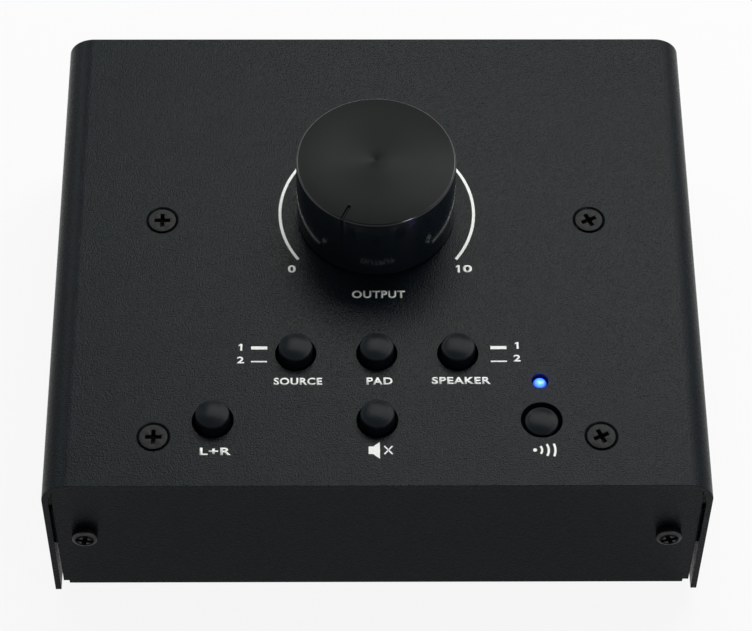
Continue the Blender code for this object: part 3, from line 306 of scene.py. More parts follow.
def circuit_board():
    """Solder resist over copper tracks."""
    shader = Shader("circuit_board", linear(20, 84, 48), 0.38)
    tracks = shader.node("ShaderNodeTexBrick")
    tracks.inputs["Scale"].default_value = 120.0
    tracks.inputs["Mortar Size"].default_value = 0.03
    colours = (("Color1", (24, 96, 56)), ("Color2", (20, 84, 48)), ("Mortar", (36, 122, 74)))
    for socket, colour in colours:
        tracks.inputs[socket].default_value = linear(*colour)
    shader.link(shader.coords, tracks.inputs["Vector"])
    shader.link(tracks.outputs["Color"], shader.bsdf.inputs["Base Color"])
    shader.rough(shader.noise(0.002), 0.3, 0.45)
    shader.bump((tracks.outputs["Fac"], 0.00001))
    return shader.material


def ribbon_insulation():
    """Grey insulation with one ridge for each wire, darker in the grooves between the ridges: painted
    shade.
    """
    shader = Shader("ribbon_insulation", linear(160, 163, 166), 0.5)
    wires = shader.node("ShaderNodeTexWave", wave_type="BANDS", bands_direction="X")
    wires.inputs["Scale"].default_value = 250.0
    shader.link(shader.coords, wires.inputs["Vector"])
    # The same bands darken the grooves between the wires: painted shade
    shader.tint(wires.outputs["Fac"], 0.8, 1.05)
    shader.bump((wires.outputs["Fac"], 0.0002))
    return shader.material


def legend_ink():
    shader = Shader("legend_ink", linear(240, 242, 241), 0.6, specular=0.1)
    shader.tint(shader.noise(0.0006), 0.93, 1.02)
    shader.bump((shader.noise(0.00034), 0.000006))
    return shader.material


PAINT = powder_coat()
KNOB_SIDE = knob_side()
KNOB_TOP = knob_top()
KNOB_EDGE_SHADE = knob_edge_painted_shade()
CAP_PLASTIC = moulded("cap_plastic", (0.0060, 0.0082, 0.0105, 1.0), 0.24, 0.048, 0.00018, 0.000003)
HOUSING = moulded("housing_plastic", linear(26, 26, 27), 0.5)
SLIDER = moulded("slider_plastic", linear(224, 221, 212), 0.5)
WHITE_INSULATOR = moulded("white_insulator", linear(225, 224, 218), 0.45)
RED_INSULATOR = moulded("red_insulator", linear(165, 24, 26), 0.45)
RUBBER = moulded("foot_rubber", linear(28, 28, 28), 0.8, 0.25, 0.0003, 0.00001)
# Near-black material for the walls of the screws' cross recesses: painted shade, darker than the screw's
# own steel
RECESS_SHADE = moulded("screw_recess_painted_shade", (0.002, 0.002, 0.002, 1.0), 0.7, 0.1)
SCREW_STEEL = metal("black_screw", linear(33, 34, 34), 0.4, 0.0006, 0.0001)
# Lighter copy of the black screw steel for the panel screws: painted glints on their heads
PANEL_STEEL_LIT = metal("panel_screw", linear(60, 62, 63), 0.3, 0.0006, 0.00005)
NICKEL = metal("plated_nickel", linear(196, 193, 186), 0.28)
ZINC = metal("zinc_plate", linear(176, 178, 180), 0.36)
STANDOFF_METAL = metal("standoff_metal", linear(190, 184, 168), 0.32)
SHIELD_TIN = metal("module_shield", linear(188, 190, 192), 0.34)
BOARD = circuit_board()
RIBBON = ribbon_insulation()
LENS = light_lens()
INK = legend_ink()


# Making pieces

def finish_piece(obj, body, replaces=()):
    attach(obj, body)
    if replaces:
        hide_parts(*replaces)
    return obj


def piece(name, bm, material, location=(0, 0, 0), rotation=(0, 0, 0)):
    bmesh.ops.recalc_face_normals(bm, faces=bm.faces)
    mesh = bpy.data.meshes.new(name)
    bm.to_mesh(mesh)
    bm.free()
    mesh.materials.append(material)
    obj = bpy.data.objects.new(name, mesh)
    bpy.context.scene.collection.objects.link(obj)
    obj.location = location
    obj.rotation_euler = rotation
    return obj


def twin(obj, name, location, rotation=(0, 0, 0)):
    other = bpy.data.objects.new(name, obj.data)
    bpy.context.scene.collection.objects.link(other)
    other.location = location
    other.rotation_euler = rotation
    return other


def solidify_modifiers(obj):
    """Applies the object's modifiers to its mesh."""
    graph = bpy.context.evaluated_depsgraph_get()
    mesh = bpy.data.meshes.new_from_object(obj.evaluated_get(graph))
    obj.modifiers.clear()
    obj.data = mesh
    return obj


def boolean(obj, bm, operation="DIFFERENCE"):
    tool = piece(obj.name + "_tool", bm, PAINT)
    tool.matrix_world = obj.matrix_world
    modifier = obj.modifiers.new("cut", "BOOLEAN")
    modifier.operation = operation
    modifier.object = tool
    modifier.solver = "EXACT"
    bpy.context.view_layer.update()
    solidify_modifiers(obj)
    bpy.data.objects.remove(tool, do_unlink=True)


def soften(obj, width, segments=2, angle=40.0):
    """Rounds the sharp edges a little and keeps large faces flat in the shading."""
    modifier = obj.modifiers.new("edges", "BEVEL")
    modifier.width = width
    modifier.segments = segments
    modifier.limit_method = "ANGLE"
    modifier.angle_limit = math.radians(angle)
    modifier.use_clamp_overlap = True
    modifier.miter_outer = "MITER_ARC"
    solidify_modifiers(obj)
    obj.data.shade_smooth()
    obj.data.set_sharp_from_angle(angle=math.radians(50))
    normals = obj.modifiers.new("normals", "WEIGHTED_NORMAL")
    normals.keep_sharp = True
    normals.weight = 80
    return solidify_modifiers(obj)


def smooth(obj, angle=35.0):
    obj.data.shade_smooth()
    obj.data.set_sharp_from_angle(angle=math.radians(angle))
    return obj


def add_box(bm, low, high):
    size = [high[i] - low[i] for i in range(3)]
    middle = [(high[i] + low[i]) / 2 for i in range(3)]
    place = Matrix.Translation(middle) @ Matrix.Diagonal((*size, 1.0))
    bmesh.ops.create_cube(bm, size=1.0, matrix=place)


def add_cone(bm, x, y, radius_low, radius_high, low, high, segments=64):
    """A cone or cylinder along Z."""
    place = Matrix.Translation((x, y, (low + high) / 2))
    bmesh.ops.create_cone(bm, cap_ends=True, segments=segments, radius1=radius_low, radius2=radius_high,
                          depth=high - low, matrix=place)


def add_bore(bm, x, z, radius, low, high, segments=64):
    """A cylinder along Y."""
    place = Matrix.Translation((x, (low + high) / 2, z)) @ Matrix.Rotation(math.pi / 2, 4, "X")
    bmesh.ops.create_cone(bm, cap_ends=True, segments=segments, radius1=radius, radius2=radius,
                          depth=high - low, matrix=place)


def arc(x, y, radius, start, end, steps):
    """Points of an arc, angles in degrees."""
    points = []
    for i in range(steps + 1):
        angle = math.radians(start + (end - start) * i / steps)
        points.append((x + radius * math.cos(angle), y + radius * math.sin(angle)))
    return points


def lathe(profile, segments=96):
    """A solid turned round Z from a profile of radius and height, top to bottom."""
    bm = bmesh.new()
    rings = []
    for radius, height in profile:
        if radius < 1e-7:
            rings.append([bm.verts.new((0, 0, height))])
            continue
        ring = []
        for i in range(segments):
            angle = 2 * math.pi * i / segments
            ring.append(bm.verts.new((radius * math.cos(angle), radius * math.sin(angle), height)))
        rings.append(ring)
    for upper, lower in zip(rings, rings[1:]):
        for i in range(segments):
            j = (i + 1) % segments
            corners = [upper[i % len(upper)], upper[j % len(upper)],
                       lower[j % len(lower)], lower[i % len(lower)]]
            corners = list(dict.fromkeys(corners))
            if len(corners) > 2:
                bm.faces.new(corners)
    if len(rings[0]) > 1 and len(rings[-1]) > 1 and profile[0] != profile[-1]:
        bm.faces.new(rings[0])
        bm.faces.new(list(reversed(rings[-1])))
    return bm


def prism(outline, low, high):
    """A flat outline drawn up along Z."""
    bm = bmesh.new()
    face = bm.faces.new([bm.verts.new((x, y, low)) for x, y in outline])
    made = bmesh.ops.extrude_face_region(bm, geom=[face])["geom"]
    for item in made:
        if isinstance(item, bmesh.types.BMVert):
            item.co.z = high
    return bm


def bent_line(corners, radius, steps):
    """A line of points whose inner corners are round."""
    line = [corners[0]]
    for i in range(1, len(corners) - 1):
        before, here, after = (Vector(corners[i + k]) for k in (-1, 0, 1))
        back = (before - here).normalized()
        forth = (after - here).normalized()
        middle = here + (back + forth) * radius
        for k in range(steps + 1):
            angle = math.pi / 2 * k / steps
            out = forth * radius * math.cos(angle) + back * radius * math.sin(angle)
            line.append(tuple(middle - out))
    line.append(corners[-1])
    return line


def folded(outer_corners, inner_corners, bend, steps, to_point, low, high):
    """A folded sheet: its section between two bent lines, drawn out from low to high."""
    outer = bent_line(outer_corners, bend, steps)
    inner = bent_line(inner_corners, max(bend - SHEET, SLACK), steps)
    bm = bmesh.new()
    rows = [[bm.verts.new(to_point(a, b, along)) for a, b in line] for line in (outer, inner)
            for along in (low, high)]
    outer_low, outer_high, inner_low, inner_high = rows
    for i in range(len(outer) - 1):
        bm.faces.new((outer_low[i], outer_low[i + 1], outer_high[i + 1], outer_high[i]))
        bm.faces.new((inner_low[i], inner_high[i], inner_high[i + 1], inner_low[i + 1]))
        bm.faces.new((outer_low[i], inner_low[i], inner_low[i + 1], outer_low[i + 1]))
        bm.faces.new((outer_high[i], outer_high[i + 1], inner_high[i + 1], inner_high[i]))
    for i in (0, len(outer) - 1):
        bm.faces.new((outer_low[i], outer_high[i], inner_high[i], inner_low[i]))
    return bm


# Case

def make_cover():
    side, low, top = COVER_HIGH.x, COVER_LOW.z, PLATE
    outer = [(-side, low), (-side, top), (side, top), (side, low)]
    inner = [(-side + SHEET, low), (-side + SHEET, top - SHEET), (side - SHEET, top - SHEET),
             (side - SHEET, low)]
    bm = folded(outer, inner, COVER_BEND, 20, lambda a, b, y: (a, y, b), COVER_LOW.y, COVER_HIGH.y)
    cover = piece("cover_shell", bm, PAINT)
    lugs = bmesh.new()
    for hand in (-1, 1):
        xs = sorted((hand * (side - SHEET / 2), hand * (side - SHEET - LUG_WIDTH)))
        for end in (-1, 1):
            face = CASE_Y + end * LUG_FACE
            ys = sorted((face, face - end * SHEET))
            add_box(lugs, (xs[0], ys[0], PANEL_SCREW[1] - LUG_HEIGHT / 2),
                    (xs[1], ys[1], PANEL_SCREW[1] + LUG_HEIGHT / 2))
    boolean(cover, lugs, "UNION")
    holes = bmesh.new()
    low, high = PLATE - SHEET - OVERRUN, PLATE + OVERRUN
    add_cone(holes, KNOB_CENTRE.x, KNOB_CENTRE.y, BUSHING_HOLE, BUSHING_HOLE, low, high)
    add_cone(holes, LIGHT.x, LIGHT.y, LIGHT_HOLE, LIGHT_HOLE, low, high)
    for name in BUTTONS:
        spot = centre(name + "_cap")
        add_cone(holes, spot.x, spot.y, CAP_HOLE, CAP_HOLE, low, high)
    for corner in CORNERS:
        spot = centre("top_screw_" + corner)
        depth = COUNTERSINK - SCREW_RADIUS
        add_cone(holes, spot.x, spot.y, SCREW_RADIUS, COUNTERSINK + SLACK, PLATE - depth,
                 PLATE + SLACK)
    boolean(cover, holes)
    shanks = bmesh.new()
    for corner in CORNERS:
        spot = centre("top_screw_" + corner)
        add_cone(shanks, spot.x, spot.y, SCREW_RADIUS + SLACK, SCREW_RADIUS + SLACK, low, high)
    for hand in (-1, 1):
        add_bore(shanks, hand * PANEL_SCREW[0], PANEL_SCREW[1], SCREW_RADIUS + SLACK,
                 COVER_LOW.y + 0.001, COVER_HIGH.y - 0.001)
    boolean(cover, shanks)
    soften(cover, PAINT_EDGE)
    return finish_piece(cover, "case", ["top_cover"])


def make_chassis():
    low, top = CHASSIS_LOW.z, CHASSIS_HIGH.z
    y0, y1 = FRONT_FACE, REAR_FACE
    outer = [(y0, top), (y0, low), (y1, low), (y1, top)]
    inner = [(y0 + SHEET, top), (y0 + SHEET, low + SHEET), (y1 - SHEET, low + SHEET), (y1 - SHEET, top)]
    half = CHASSIS_HIGH.x
    bm = folded(outer, inner, CHASSIS_BEND, 8, lambda a, b, x: (x, a, b), -half, half)
    chassis = piece("chassis_shell", bm, PAINT)
    outline = [(-half - OVERRUN, low - OVERRUN), (half + OVERRUN, low - OVERRUN),
               (half + OVERRUN, top - PANEL_CORNER)]
    outline += arc(half - PANEL_CORNER, top - PANEL_CORNER, PANEL_CORNER, 0, 90, 12)
    outline += arc(-half + PANEL_CORNER, top - PANEL_CORNER, PANEL_CORNER, 90, 180, 12)
    outline.append((-half - OVERRUN, top - PANEL_CORNER))
    keep = prism(outline, y0 - OVERRUN, y1 + OVERRUN)
    for vert in keep.verts:
        vert.co = (vert.co.x, vert.co.z, vert.co.y)
    boolean(chassis, keep, "INTERSECT")
    holes = bmesh.new()
    for hand in (-1, 1):
        xs = sorted((hand * (half - RELIEF_WIDTH), hand * (half + OVERRUN)))
        add_box(holes, (xs[0], y0 - OVERRUN, low - OVERRUN), (xs[1], y1 + OVERRUN, low + RELIEF_HEIGHT))
        add_bore(holes, hand * PANEL_SCREW[0], PANEL_SCREW[1], SCREW_RADIUS + SLACK,
                 y0 - OVERRUN, y1 + OVERRUN)
    for index in (1, 2, 3):
        for level in ("low", "high"):
            spot = centre("jack_nut_%d_%s" % (index, level))
            add_bore(holes, spot.x, spot.z, NUT_HOLE, y1 - OVERRUN, y1 + OVERRUN)
    for spot in PHONO_SPOTS:
        add_bore(holes, spot.x, spot.z, PHONO_HOLE, y1 - OVERRUN, y1 + OVERRUN)
    add_bore(holes, DC_SPOT.x, DC_SPOT.z, DC_HOLE, y1 - OVERRUN, y1 + OVERRUN)
    boolean(chassis, holes)
    soften(chassis, PAINT_EDGE)
    return finish_piece(chassis, "case", ["chassis"])


def make_feet():
    bm = lathe([(0, 0.0037), (0.0061, 0.0037), (0.0063, 0.0035)]
               + arc(0.0050, 0.0007, 0.0007, 0, -90, 6) + [(0.0026, 0.0), (0.0022, 0.0006), (0, 0.0006)])
    first = smooth(piece("foot_pad_front_left", bm, RUBBER), 50)
    for corner in CORNERS:
        low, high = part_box("foot_" + corner)
        spot = ((low.x + high.x) / 2, (low.y + high.y) / 2, 0)
        foot = first if corner == "front_left" else twin(first, "foot_pad_" + corner, spot)
        foot.location = spot
        finish_piece(foot, "case", ["foot_" + corner])


# Screws

def recess(obj, top, span, width, depth):
    for arm in (0, 1):
        tool = bmesh.new()
        low, high = span * 0.38, span * 0.5
        points = [(-high, top + depth * 0.1), (high, top + depth * 0.1),
                  (low, top - depth), (-low, top - depth)]
        face = tool.faces.new([tool.verts.new((x, -width / 2, z)) for x, z in points])
        made = bmesh.ops.extrude_face_region(tool, geom=[face])["geom"]
        for item in made:
            if isinstance(item, bmesh.types.BMVert):
                item.co.y = width / 2
        if arm:
            quarter = Matrix.Rotation(math.pi / 2, 3, "Z")
            bmesh.ops.rotate(tool, verts=tool.verts, cent=(0, 0, 0), matrix=quarter)
        bmesh.ops.recalc_face_normals(tool, faces=tool.faces)
        boolean(obj, tool)
    web = lathe([(0, top + depth * 0.1), (width * 0.78, top + depth * 0.1),
                 (width * 0.5, top - depth * 1.15), (0, top - depth * 1.3)], 32)
    boolean(obj, web)
    # The faces inside the cross recess get the near-black material: painted shade in the recess
    obj.data.materials.append(RECESS_SHADE)
    for face in obj.data.polygons:
        spot = face.center
        if top - depth * 1.4 < spot.z < top - depth * 0.02 and spot.xy.length < span * 0.53:
            face.material_index = 1


def make_top_screws():
    slope = HEAD_RADIUS - SCREW_RADIUS
    profile = [(0, 0), (HEAD_RADIUS, 0), (HEAD_RADIUS, -0.0002), (SCREW_RADIUS, -0.0002 - slope),
               (SCREW_RADIUS, -0.009), (0, -0.009)]
    first = piece("plate_screw_front_left", lathe(profile), SCREW_STEEL)
    recess(first, 0.0, 0.0036, 0.00095, 0.0015)
    soften(first, 0.00009)
    for corner in CORNERS:
        low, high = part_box("top_screw_" + corner)
        spot = ((low.x + high.x) / 2, (low.y + high.y) / 2, PLATE)
        screw = first if corner == "front_left" else twin(first, "plate_screw_" + corner, spot)
        screw.location = spot
        screw.rotation_euler = (0, 0, math.radians(25) if spot[0] > 0 else 0)
        finish_piece(screw, "case", ["top_screw_" + corner])


def make_panel_screws():
    profile = [(0, PAN_HEIGHT)]
    shoulder = PAN_HEIGHT - 0.0007
    for i in range(1, 15):
        angle = math.pi / 2 * i / 14
        profile.append((PAN_RADIUS * math.sin(angle) ** 0.62,
                        shoulder + (PAN_HEIGHT - shoulder) * math.cos(angle) ** 0.62))
    profile += [(PAN_RADIUS, 0.00012), (PAN_RADIUS - 0.00012, 0), (SCREW_RADIUS, 0),
                (SCREW_RADIUS, -0.006), (0, -0.006)]
    first = piece("panel_screw_front_left", lathe(profile), PANEL_STEEL_LIT)
    recess(first, PAN_HEIGHT, 0.0038, 0.00105, 0.0013)
    soften(first, 0.00008)
    for panel, end in (("front", -1), ("rear", 1)):
        for hand, side in (("left", -1), ("right", 1)):
            spot = (side * PANEL_SCREW[0], CASE_Y + end * (PANEL_FACE + SLACK), PANEL_SCREW[1])
            name = "panel_screw_%s_%s" % (panel, hand)
            screw = first if name == "panel_screw_front_left" else twin(first, name, spot)
            screw.location = spot
            tilt = Matrix.Rotation(-end * math.pi / 2, 4, "X")
            turn = Matrix.Rotation(math.radians(20 if side > 0 else -12), 4, "Z")
            screw.rotation_euler = (tilt @ turn).to_euler()
            finish_piece(screw, "case", ["%s_screw_%s" % (panel, hand)])


# Controls

def make_knob():
    height = KNOB_HIGH.z - KNOB_LOW.z
    radius = KNOB_RADIUS
    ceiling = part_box("pot_shaft")[1].z - KNOB_LOW.z
    bottom = ceiling + SLACK
    profile = [(0, height - 0.00005), (0.0001, height - 0.00004), (0.00018, height)]
    profile += [(0.004, height), (0.010, height)]
    profile += [(radius - 0.00042, height), (radius - 0.00036, height - 0.00002),
                (radius - 0.00003, height - 0.00034), (radius, height - 0.0004)]
    profile += [(radius, 0.00025), (radius - 0.0002, 0), (KNOB_CAVITY, 0), (KNOB_CAVITY, KNOB_HUB),
                (SHAFT_HOLE, KNOB_HUB), (SHAFT_HOLE, bottom), (0, bottom)]
    knob = piece("knob_body", lathe(profile, 192), KNOB_SIDE, KNOB_CENTRE, (0, 0, POINTER_ANGLE))
    bpy.context.view_layer.update()
    half = 0.0004
    inner = radius - 0.0041 + half
    cutter = [(0, radius + OVERRUN), (half, radius + OVERRUN)]
    cutter += [(x, inner + y) for x, y in arc(0, 0, half, 0, -90, 8)]
    groove = lathe(cutter, 32)
    bmesh.ops.rotate(groove, verts=groove.verts, cent=(0, 0, 0),
                     matrix=Matrix.Rotation(math.pi / 2, 3, "Y"))
    bmesh.ops.translate(groove, verts=groove.verts, vec=(0, 0, height - 0.0001))
    boolean(knob, groove)
    hole = bmesh.new()
    add_bore(hole, 0, 0.0102, SCREW_RADIUS + SLACK, -radius - OVERRUN, 0, 32)
    bmesh.ops.rotate(hole, verts=hole.verts, cent=(0, 0, 0),
                     matrix=Matrix.Rotation(-math.pi / 2, 3, "Z"))
    boolean(knob, hole)
    knob.data.materials.append(KNOB_TOP)
    knob.data.materials.append(KNOB_EDGE_SHADE)
    # Top faces inside the rim get the spun top, and the rim gets the darker edge material, which is
    # painted shade
    for face in knob.data.polygons:
        inside = face.center.xy.length < radius - 0.0004
        if face.center.z > height - 0.00055:
            face.material_index = 1 if inside else 2
    smooth(knob, 30)
    return finish_piece(knob, "knob", ["volume_knob"])


def make_caps():
    low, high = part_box("input_cap")
    height = high.z - low.z
    crown, edge = 0.0004, 0.00036
    inner = CAP_RADIUS - edge
    profile = [(0, height)]
    for i in range(1, 9):
        share = i / 8
        profile.append((inner * share, height - crown * share * share))
    profile += arc(inner, height - crown - edge, edge, 80, 0, 6)
    profile += [(CAP_RADIUS, 0.00015), (CAP_RADIUS - 0.00015, 0), (0.0024, 0),
                (0.0024, height - 0.0014), (0, height - 0.0014)]
    first = smooth(piece("input_button_cap", lathe(profile, 96), CAP_PLASTIC), 45)
    for name in BUTTONS:
        low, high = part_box(name + "_cap")
        spot = ((low.x + high.x) / 2, (low.y + high.y) / 2, low.z)
        cap = first if name == "input" else twin(first, name + "_button_cap", spot)
        cap.location = spot
        finish_piece(cap, name + "_button", [name + "_cap"])


def make_light():
    low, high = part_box("status_light")
    top = high.z - low.z
    profile = [(0, top), (0.0008, top - 0.0001), (0.00125, top - 0.00032), (0.0015, top - 0.00075),
               (0.0015, top - 0.0045), (0.0019, top - 0.0045), (0.0019, top - 0.0053), (0, top - 0.0053)]
    lens = piece("light_lens", lathe(profile, 64), LENS, (LIGHT.x, LIGHT.y, low.z))
    smooth(lens, 50)
    leads = bmesh.new()
    for side in (-1, 1):
        x = side * 0.00127
        add_box(leads, (x - 0.00025, -0.00025, 0), (x + 0.00025, 0.00025, top - 0.0053 + 0.0002))
    legs = piece("light_leads", leads, ZINC, (LIGHT.x, LIGHT.y, low.z))
    finish_piece(lens, "case", ["status_light"])
    finish_piece(legs, "case")


# Rear connectors

JACKS = [(index, level, centre("jack_nut_%d_%s" % (index, level))) for index in (1, 2, 3)
         for level in ("low", "high")]
phono_low, phono_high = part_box("phono_sockets")
PHONO_X = (phono_low.x + phono_high.x) / 2
PHONO_SPOTS = [Vector((PHONO_X, REAR_FACE, phono_low.z + PHONO_LOWEST + level * PHONO_PITCH))
               for level in (0, 1)]
dc_low, dc_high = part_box("dc_inlet")
DC_SPOT = Vector(((dc_low.x + dc_high.x) / 2, REAR_FACE, dc_low.z + DC_HEIGHT))
TURN_REAR = (-math.pi / 2, 0, 0)


def make_jacks():
    """Plastic bodies behind the panel, threaded bushings and nuts in front of it."""
    for index in (1, 2, 3):
        low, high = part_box("jack_pair_%d" % index)
        body = bmesh.new()
        middle = (low.x + high.x) / 2
        face = REAR_FACE - SHEET - SLACK
        add_box(body, (low.x, low.y, low.z), (high.x, face, high.z))
        housing = piece("jack_housing_%d" % index, body, HOUSING)
        bores = bmesh.new()
        for level in ("low", "high"):
            spot = centre("jack_nut_%d_%s" % (index, level))
            add_bore(bores, middle, spot.z, JACK_BORE, low.y + 0.0064, face + OVERRUN, 48)
        boolean(housing, bores)
        soften(housing, 0.0004)
        finish_piece(housing, "case", ["jack_pair_%d" % index])
    profile = [(JACK_BORE, 0.00455), (0.0036, 0.00485), (0.0043, 0.00485)]
    level = 0.0046
    while level > 0.0004:
        profile += [(THREAD_RADIUS, level), (THREAD_ROOT, level - THREAD_PITCH / 2)]
        level -= THREAD_PITCH
    profile += [(THREAD_RADIUS, 0.0002), (THREAD_RADIUS, 0.0), (JACK_BORE, 0.0)]
    profile.append(profile[0])
    bushing = smooth(piece("jack_bushing_1_low", lathe(profile, 64), NICKEL), 30)
    flats = NUT_FLATS / 2
    corner = flats / math.cos(math.pi / 6)
    turns = [math.radians(60 * i) for i in range(6)]
    nut_bm = prism([(corner * math.cos(turn), corner * math.sin(turn)) for turn in turns], 0.0, NUT_HEIGHT)
    nut = piece("jack_ring_nut_1_low", nut_bm, NICKEL)
    bore = bmesh.new()
    add_cone(bore, 0, 0, NUT_HOLE, NUT_HOLE, -OVERRUN, NUT_HEIGHT + OVERRUN)
    boolean(nut, bore)
    edge = 0.0007
    dome = lathe([(0, NUT_HEIGHT), (flats + 0.0001, NUT_HEIGHT), (corner + 0.0002, NUT_HEIGHT - edge),
                  (corner + 0.0002, edge * 0.6), (flats + 0.0003, 0), (0, 0)], 96)
    boolean(nut, dome, "INTERSECT")
    soften(nut, 0.00008, 1)
    for index, height, spot in JACKS:
        tag = "%d_%s" % (index, height)
        base = (spot.x, REAR_FACE - SHEET - SLACK, spot.z)
        seat = (spot.x, REAR_FACE + SLACK, spot.z)
        sleeve = bushing if tag == "1_low" else twin(bushing, "jack_bushing_" + tag, base)
        sleeve.location = base
        sleeve.rotation_euler = TURN_REAR
        finish_piece(sleeve, "case")
        ring = nut if tag == "1_low" else twin(nut, "jack_ring_nut_" + tag, seat)
        ring.location = seat
        ring.rotation_euler = TURN_REAR
        finish_piece(ring, "case", ["jack_nut_" + tag])


def make_phono():
    low, high = phono_low, phono_high
    face = REAR_FACE - SHEET - SLACK
    body = bmesh.new()
    add_box(body, (low.x, low.y, low.z), (high.x, face, high.z))
    housing = piece("phono_housing", body, HOUSING)
    soften(housing, 0.0004)
    collar_bm = lathe([(0.0, 0.0027), (0.0045, 0.0027), (0.0047, 0.0025), (0.0047, 0.0),
                       (0.0, 0.0)], 64)
    collar = smooth(piece("phono_collar_low", collar_bm, HOUSING), 40)
    profile = [(0.0034, 0.0106), (0.0039, 0.0106), (0.00415, 0.0104), (0.00415, 0.0072),
               (0.00405, 0.0070), (0.00405, 0.0066), (0.00415, 0.0064), (0.00415, 0.0027),
               (0.0034, 0.0027)]
    profile.append(profile[0])
    barrel = smooth(piece("phono_barrel_low", lathe(profile, 64), NICKEL), 30)
    plugs = []
    for name, material in (("low", RED_INSULATOR), ("high", WHITE_INSULATOR)):
        insulator = lathe([(0.0017, 0.0100), (0.0021, 0.0102), (0.0034, 0.0102), (0.0034, 0.0027),
                           (0.0017, 0.0027), (0.0017, 0.0100)], 64)
        plugs.append(smooth(piece("phono_insulator_" + name, insulator, material), 30))
    finish_piece(housing, "case", ["phono_sockets"])
    for level, spot in enumerate(PHONO_SPOTS):
        name = ("low", "high")[level]
        base = (spot.x, face, spot.z)
        for first, label, slot in ((collar, "phono_collar_", "housing_plastic"),
                                   (barrel, "phono_barrel_", "plated_nut")):
            part = first if level == 0 else twin(first, label + name, base)
            part.location = base
            part.rotation_euler = TURN_REAR
            finish_piece(part, "case")
        plugs[level].location = base
        plugs[level].rotation_euler = TURN_REAR
        finish_piece(plugs[level], "case")


def make_dc_inlet():
    face = REAR_FACE - SHEET - SLACK
    body = bmesh.new()
    add_box(body, (dc_low.x, dc_low.y, dc_low.z), (dc_high.x, face, dc_high.z))
    housing = piece("dc_housing", body, HOUSING)
    nose = bmesh.new()
    add_bore(nose, DC_SPOT.x, DC_SPOT.z, DC_NOSE, face - 0.002, dc_high.y)
    boolean(housing, nose, "UNION")
    bore = bmesh.new()
    add_bore(bore, DC_SPOT.x, DC_SPOT.z, DC_BORE, dc_high.y - DC_DEPTH, dc_high.y + OVERRUN)
    boolean(housing, bore)
    soften(housing, 0.0003)
    finish_piece(housing, "case", ["dc_inlet"])
    pin_bm = lathe([(0, 0.0082), (0.0006, 0.0082), (0.00105, 0.0077), (0.00105, 0), (0, 0)], 32)
    seat = (DC_SPOT.x, dc_high.y - DC_DEPTH, DC_SPOT.z)
    pin = smooth(piece("dc_pin", pin_bm, NICKEL, seat, TURN_REAR), 40)
    finish_piece(pin, "case")


# White legends on the plate

INK_HEIGHT = 0.00002
# Name, text, place of the middle and size, in millimetres
LEGENDS = (
    ("legend_level", "OUTPUT", 0.48, -11.75, 11.6, 2.0),
    ("legend_source", "SOURCE", -16.98, -34.5, 10.4, 1.84),
    ("legend_pad", "PAD", 0.53, -34.45, 5.6, 1.84),
    ("legend_speaker", "SPEAKER", 18.08, -34.35, 12.6, 1.84),
    ("legend_sum", "L+R", -34.26, -52.15, 6.6, 1.84),
    ("legend_dial_low", "0", -18.54, -4.9, 1.75, 2.0),
    ("legend_dial_high", "10", 19.32, -4.9, 3.6, 2.0),
    ("legend_source_one", "1", -29.46, -25.66, 0.8, 1.75),
    ("legend_source_two", "2", -29.4, -28.98, 1.55, 1.75),
    ("legend_speaker_one", "1", 30.31, -25.28, 0.8, 1.75),
    ("legend_speaker_two", "2", 30.27, -28.6, 1.55, 1.75),
)
ONE = ((0.0, 0.66), (0.0, 0.84), (0.5, 1.0), (1.0, 1.0), (1.0, 0.0), (0.45, 0.0), (0.45, 0.78))


def digit_one(x, width, height):
    """The outline of a plain 1, in millimetres."""
    bm = bmesh.new()
    corners = [((x + (a - 0.5) * width) / 1000, (b - 0.5) * height / 1000, 0) for a, b in ONE]
    bm.faces.new([bm.verts.new(corner) for corner in corners])
    return bm


def text_mesh(text, width, height, x=0.0):
    """A word as flat outlines, fitted to a width and a height in millimetres."""
    curve = bpy.data.curves.new("word", "FONT")
    curve.body = text
    curve.size = 1.0
    curve.offset = 0.03
    curve.space_character = 1.1
    curve.resolution_u = 6
    curve.fill_mode = "FRONT"
    obj = bpy.data.objects.new("word", curve)
    bpy.context.scene.collection.objects.link(obj)
    bpy.context.view_layer.update()
    mesh = bpy.data.meshes.new_from_object(obj.evaluated_get(bpy.context.evaluated_depsgraph_get()))
    bpy.data.objects.remove(obj, do_unlink=True)
    xs = [v.co.x for v in mesh.vertices]
    ys = [v.co.y for v in mesh.vertices]
    for vert in mesh.vertices:
        vert.co.x = ((vert.co.x - min(xs)) / (max(xs) - min(xs)) - 0.5) * width / 1000 + x / 1000
        vert.co.y = ((vert.co.y - min(ys)) / (max(ys) - min(ys)) - 0.5) * height / 1000
        vert.co.z = 0.0
    return mesh


def raise_ink(bm):
    """Turns flat faces into a thin solid film."""
    flat = list(bm.faces)
    made = bmesh.ops.extrude_face_region(bm, geom=flat)["geom"]
    for item in made:
        if isinstance(item, bmesh.types.BMVert):
            item.co.z += INK_HEIGHT


def ink(name, bm, x, y):
    obj = piece(name, bm, INK, (x / 1000, CASE_Y + y / 1000, PLATE - INK_HEIGHT / 4))
    return finish_piece(obj, "case")


def add_strip(bm, centre_line, width):
    """A flat stroke along a line of points, in metres."""
    left, right = [], []
    for i, point in enumerate(centre_line):
        before = Vector(centre_line[max(i - 1, 0)])
        after = Vector(centre_line[min(i + 1, len(centre_line) - 1)])
        way = (after - before).normalized()
        out = Vector((-way.y, way.x)) * width / 2
        left.append(bm.verts.new((*(Vector(point) + out), 0)))
        right.append(bm.verts.new((*(Vector(point) - out), 0)))
    for i in range(len(centre_line) - 1):
        bm.faces.new((left[i], right[i], right[i + 1], left[i + 1]))


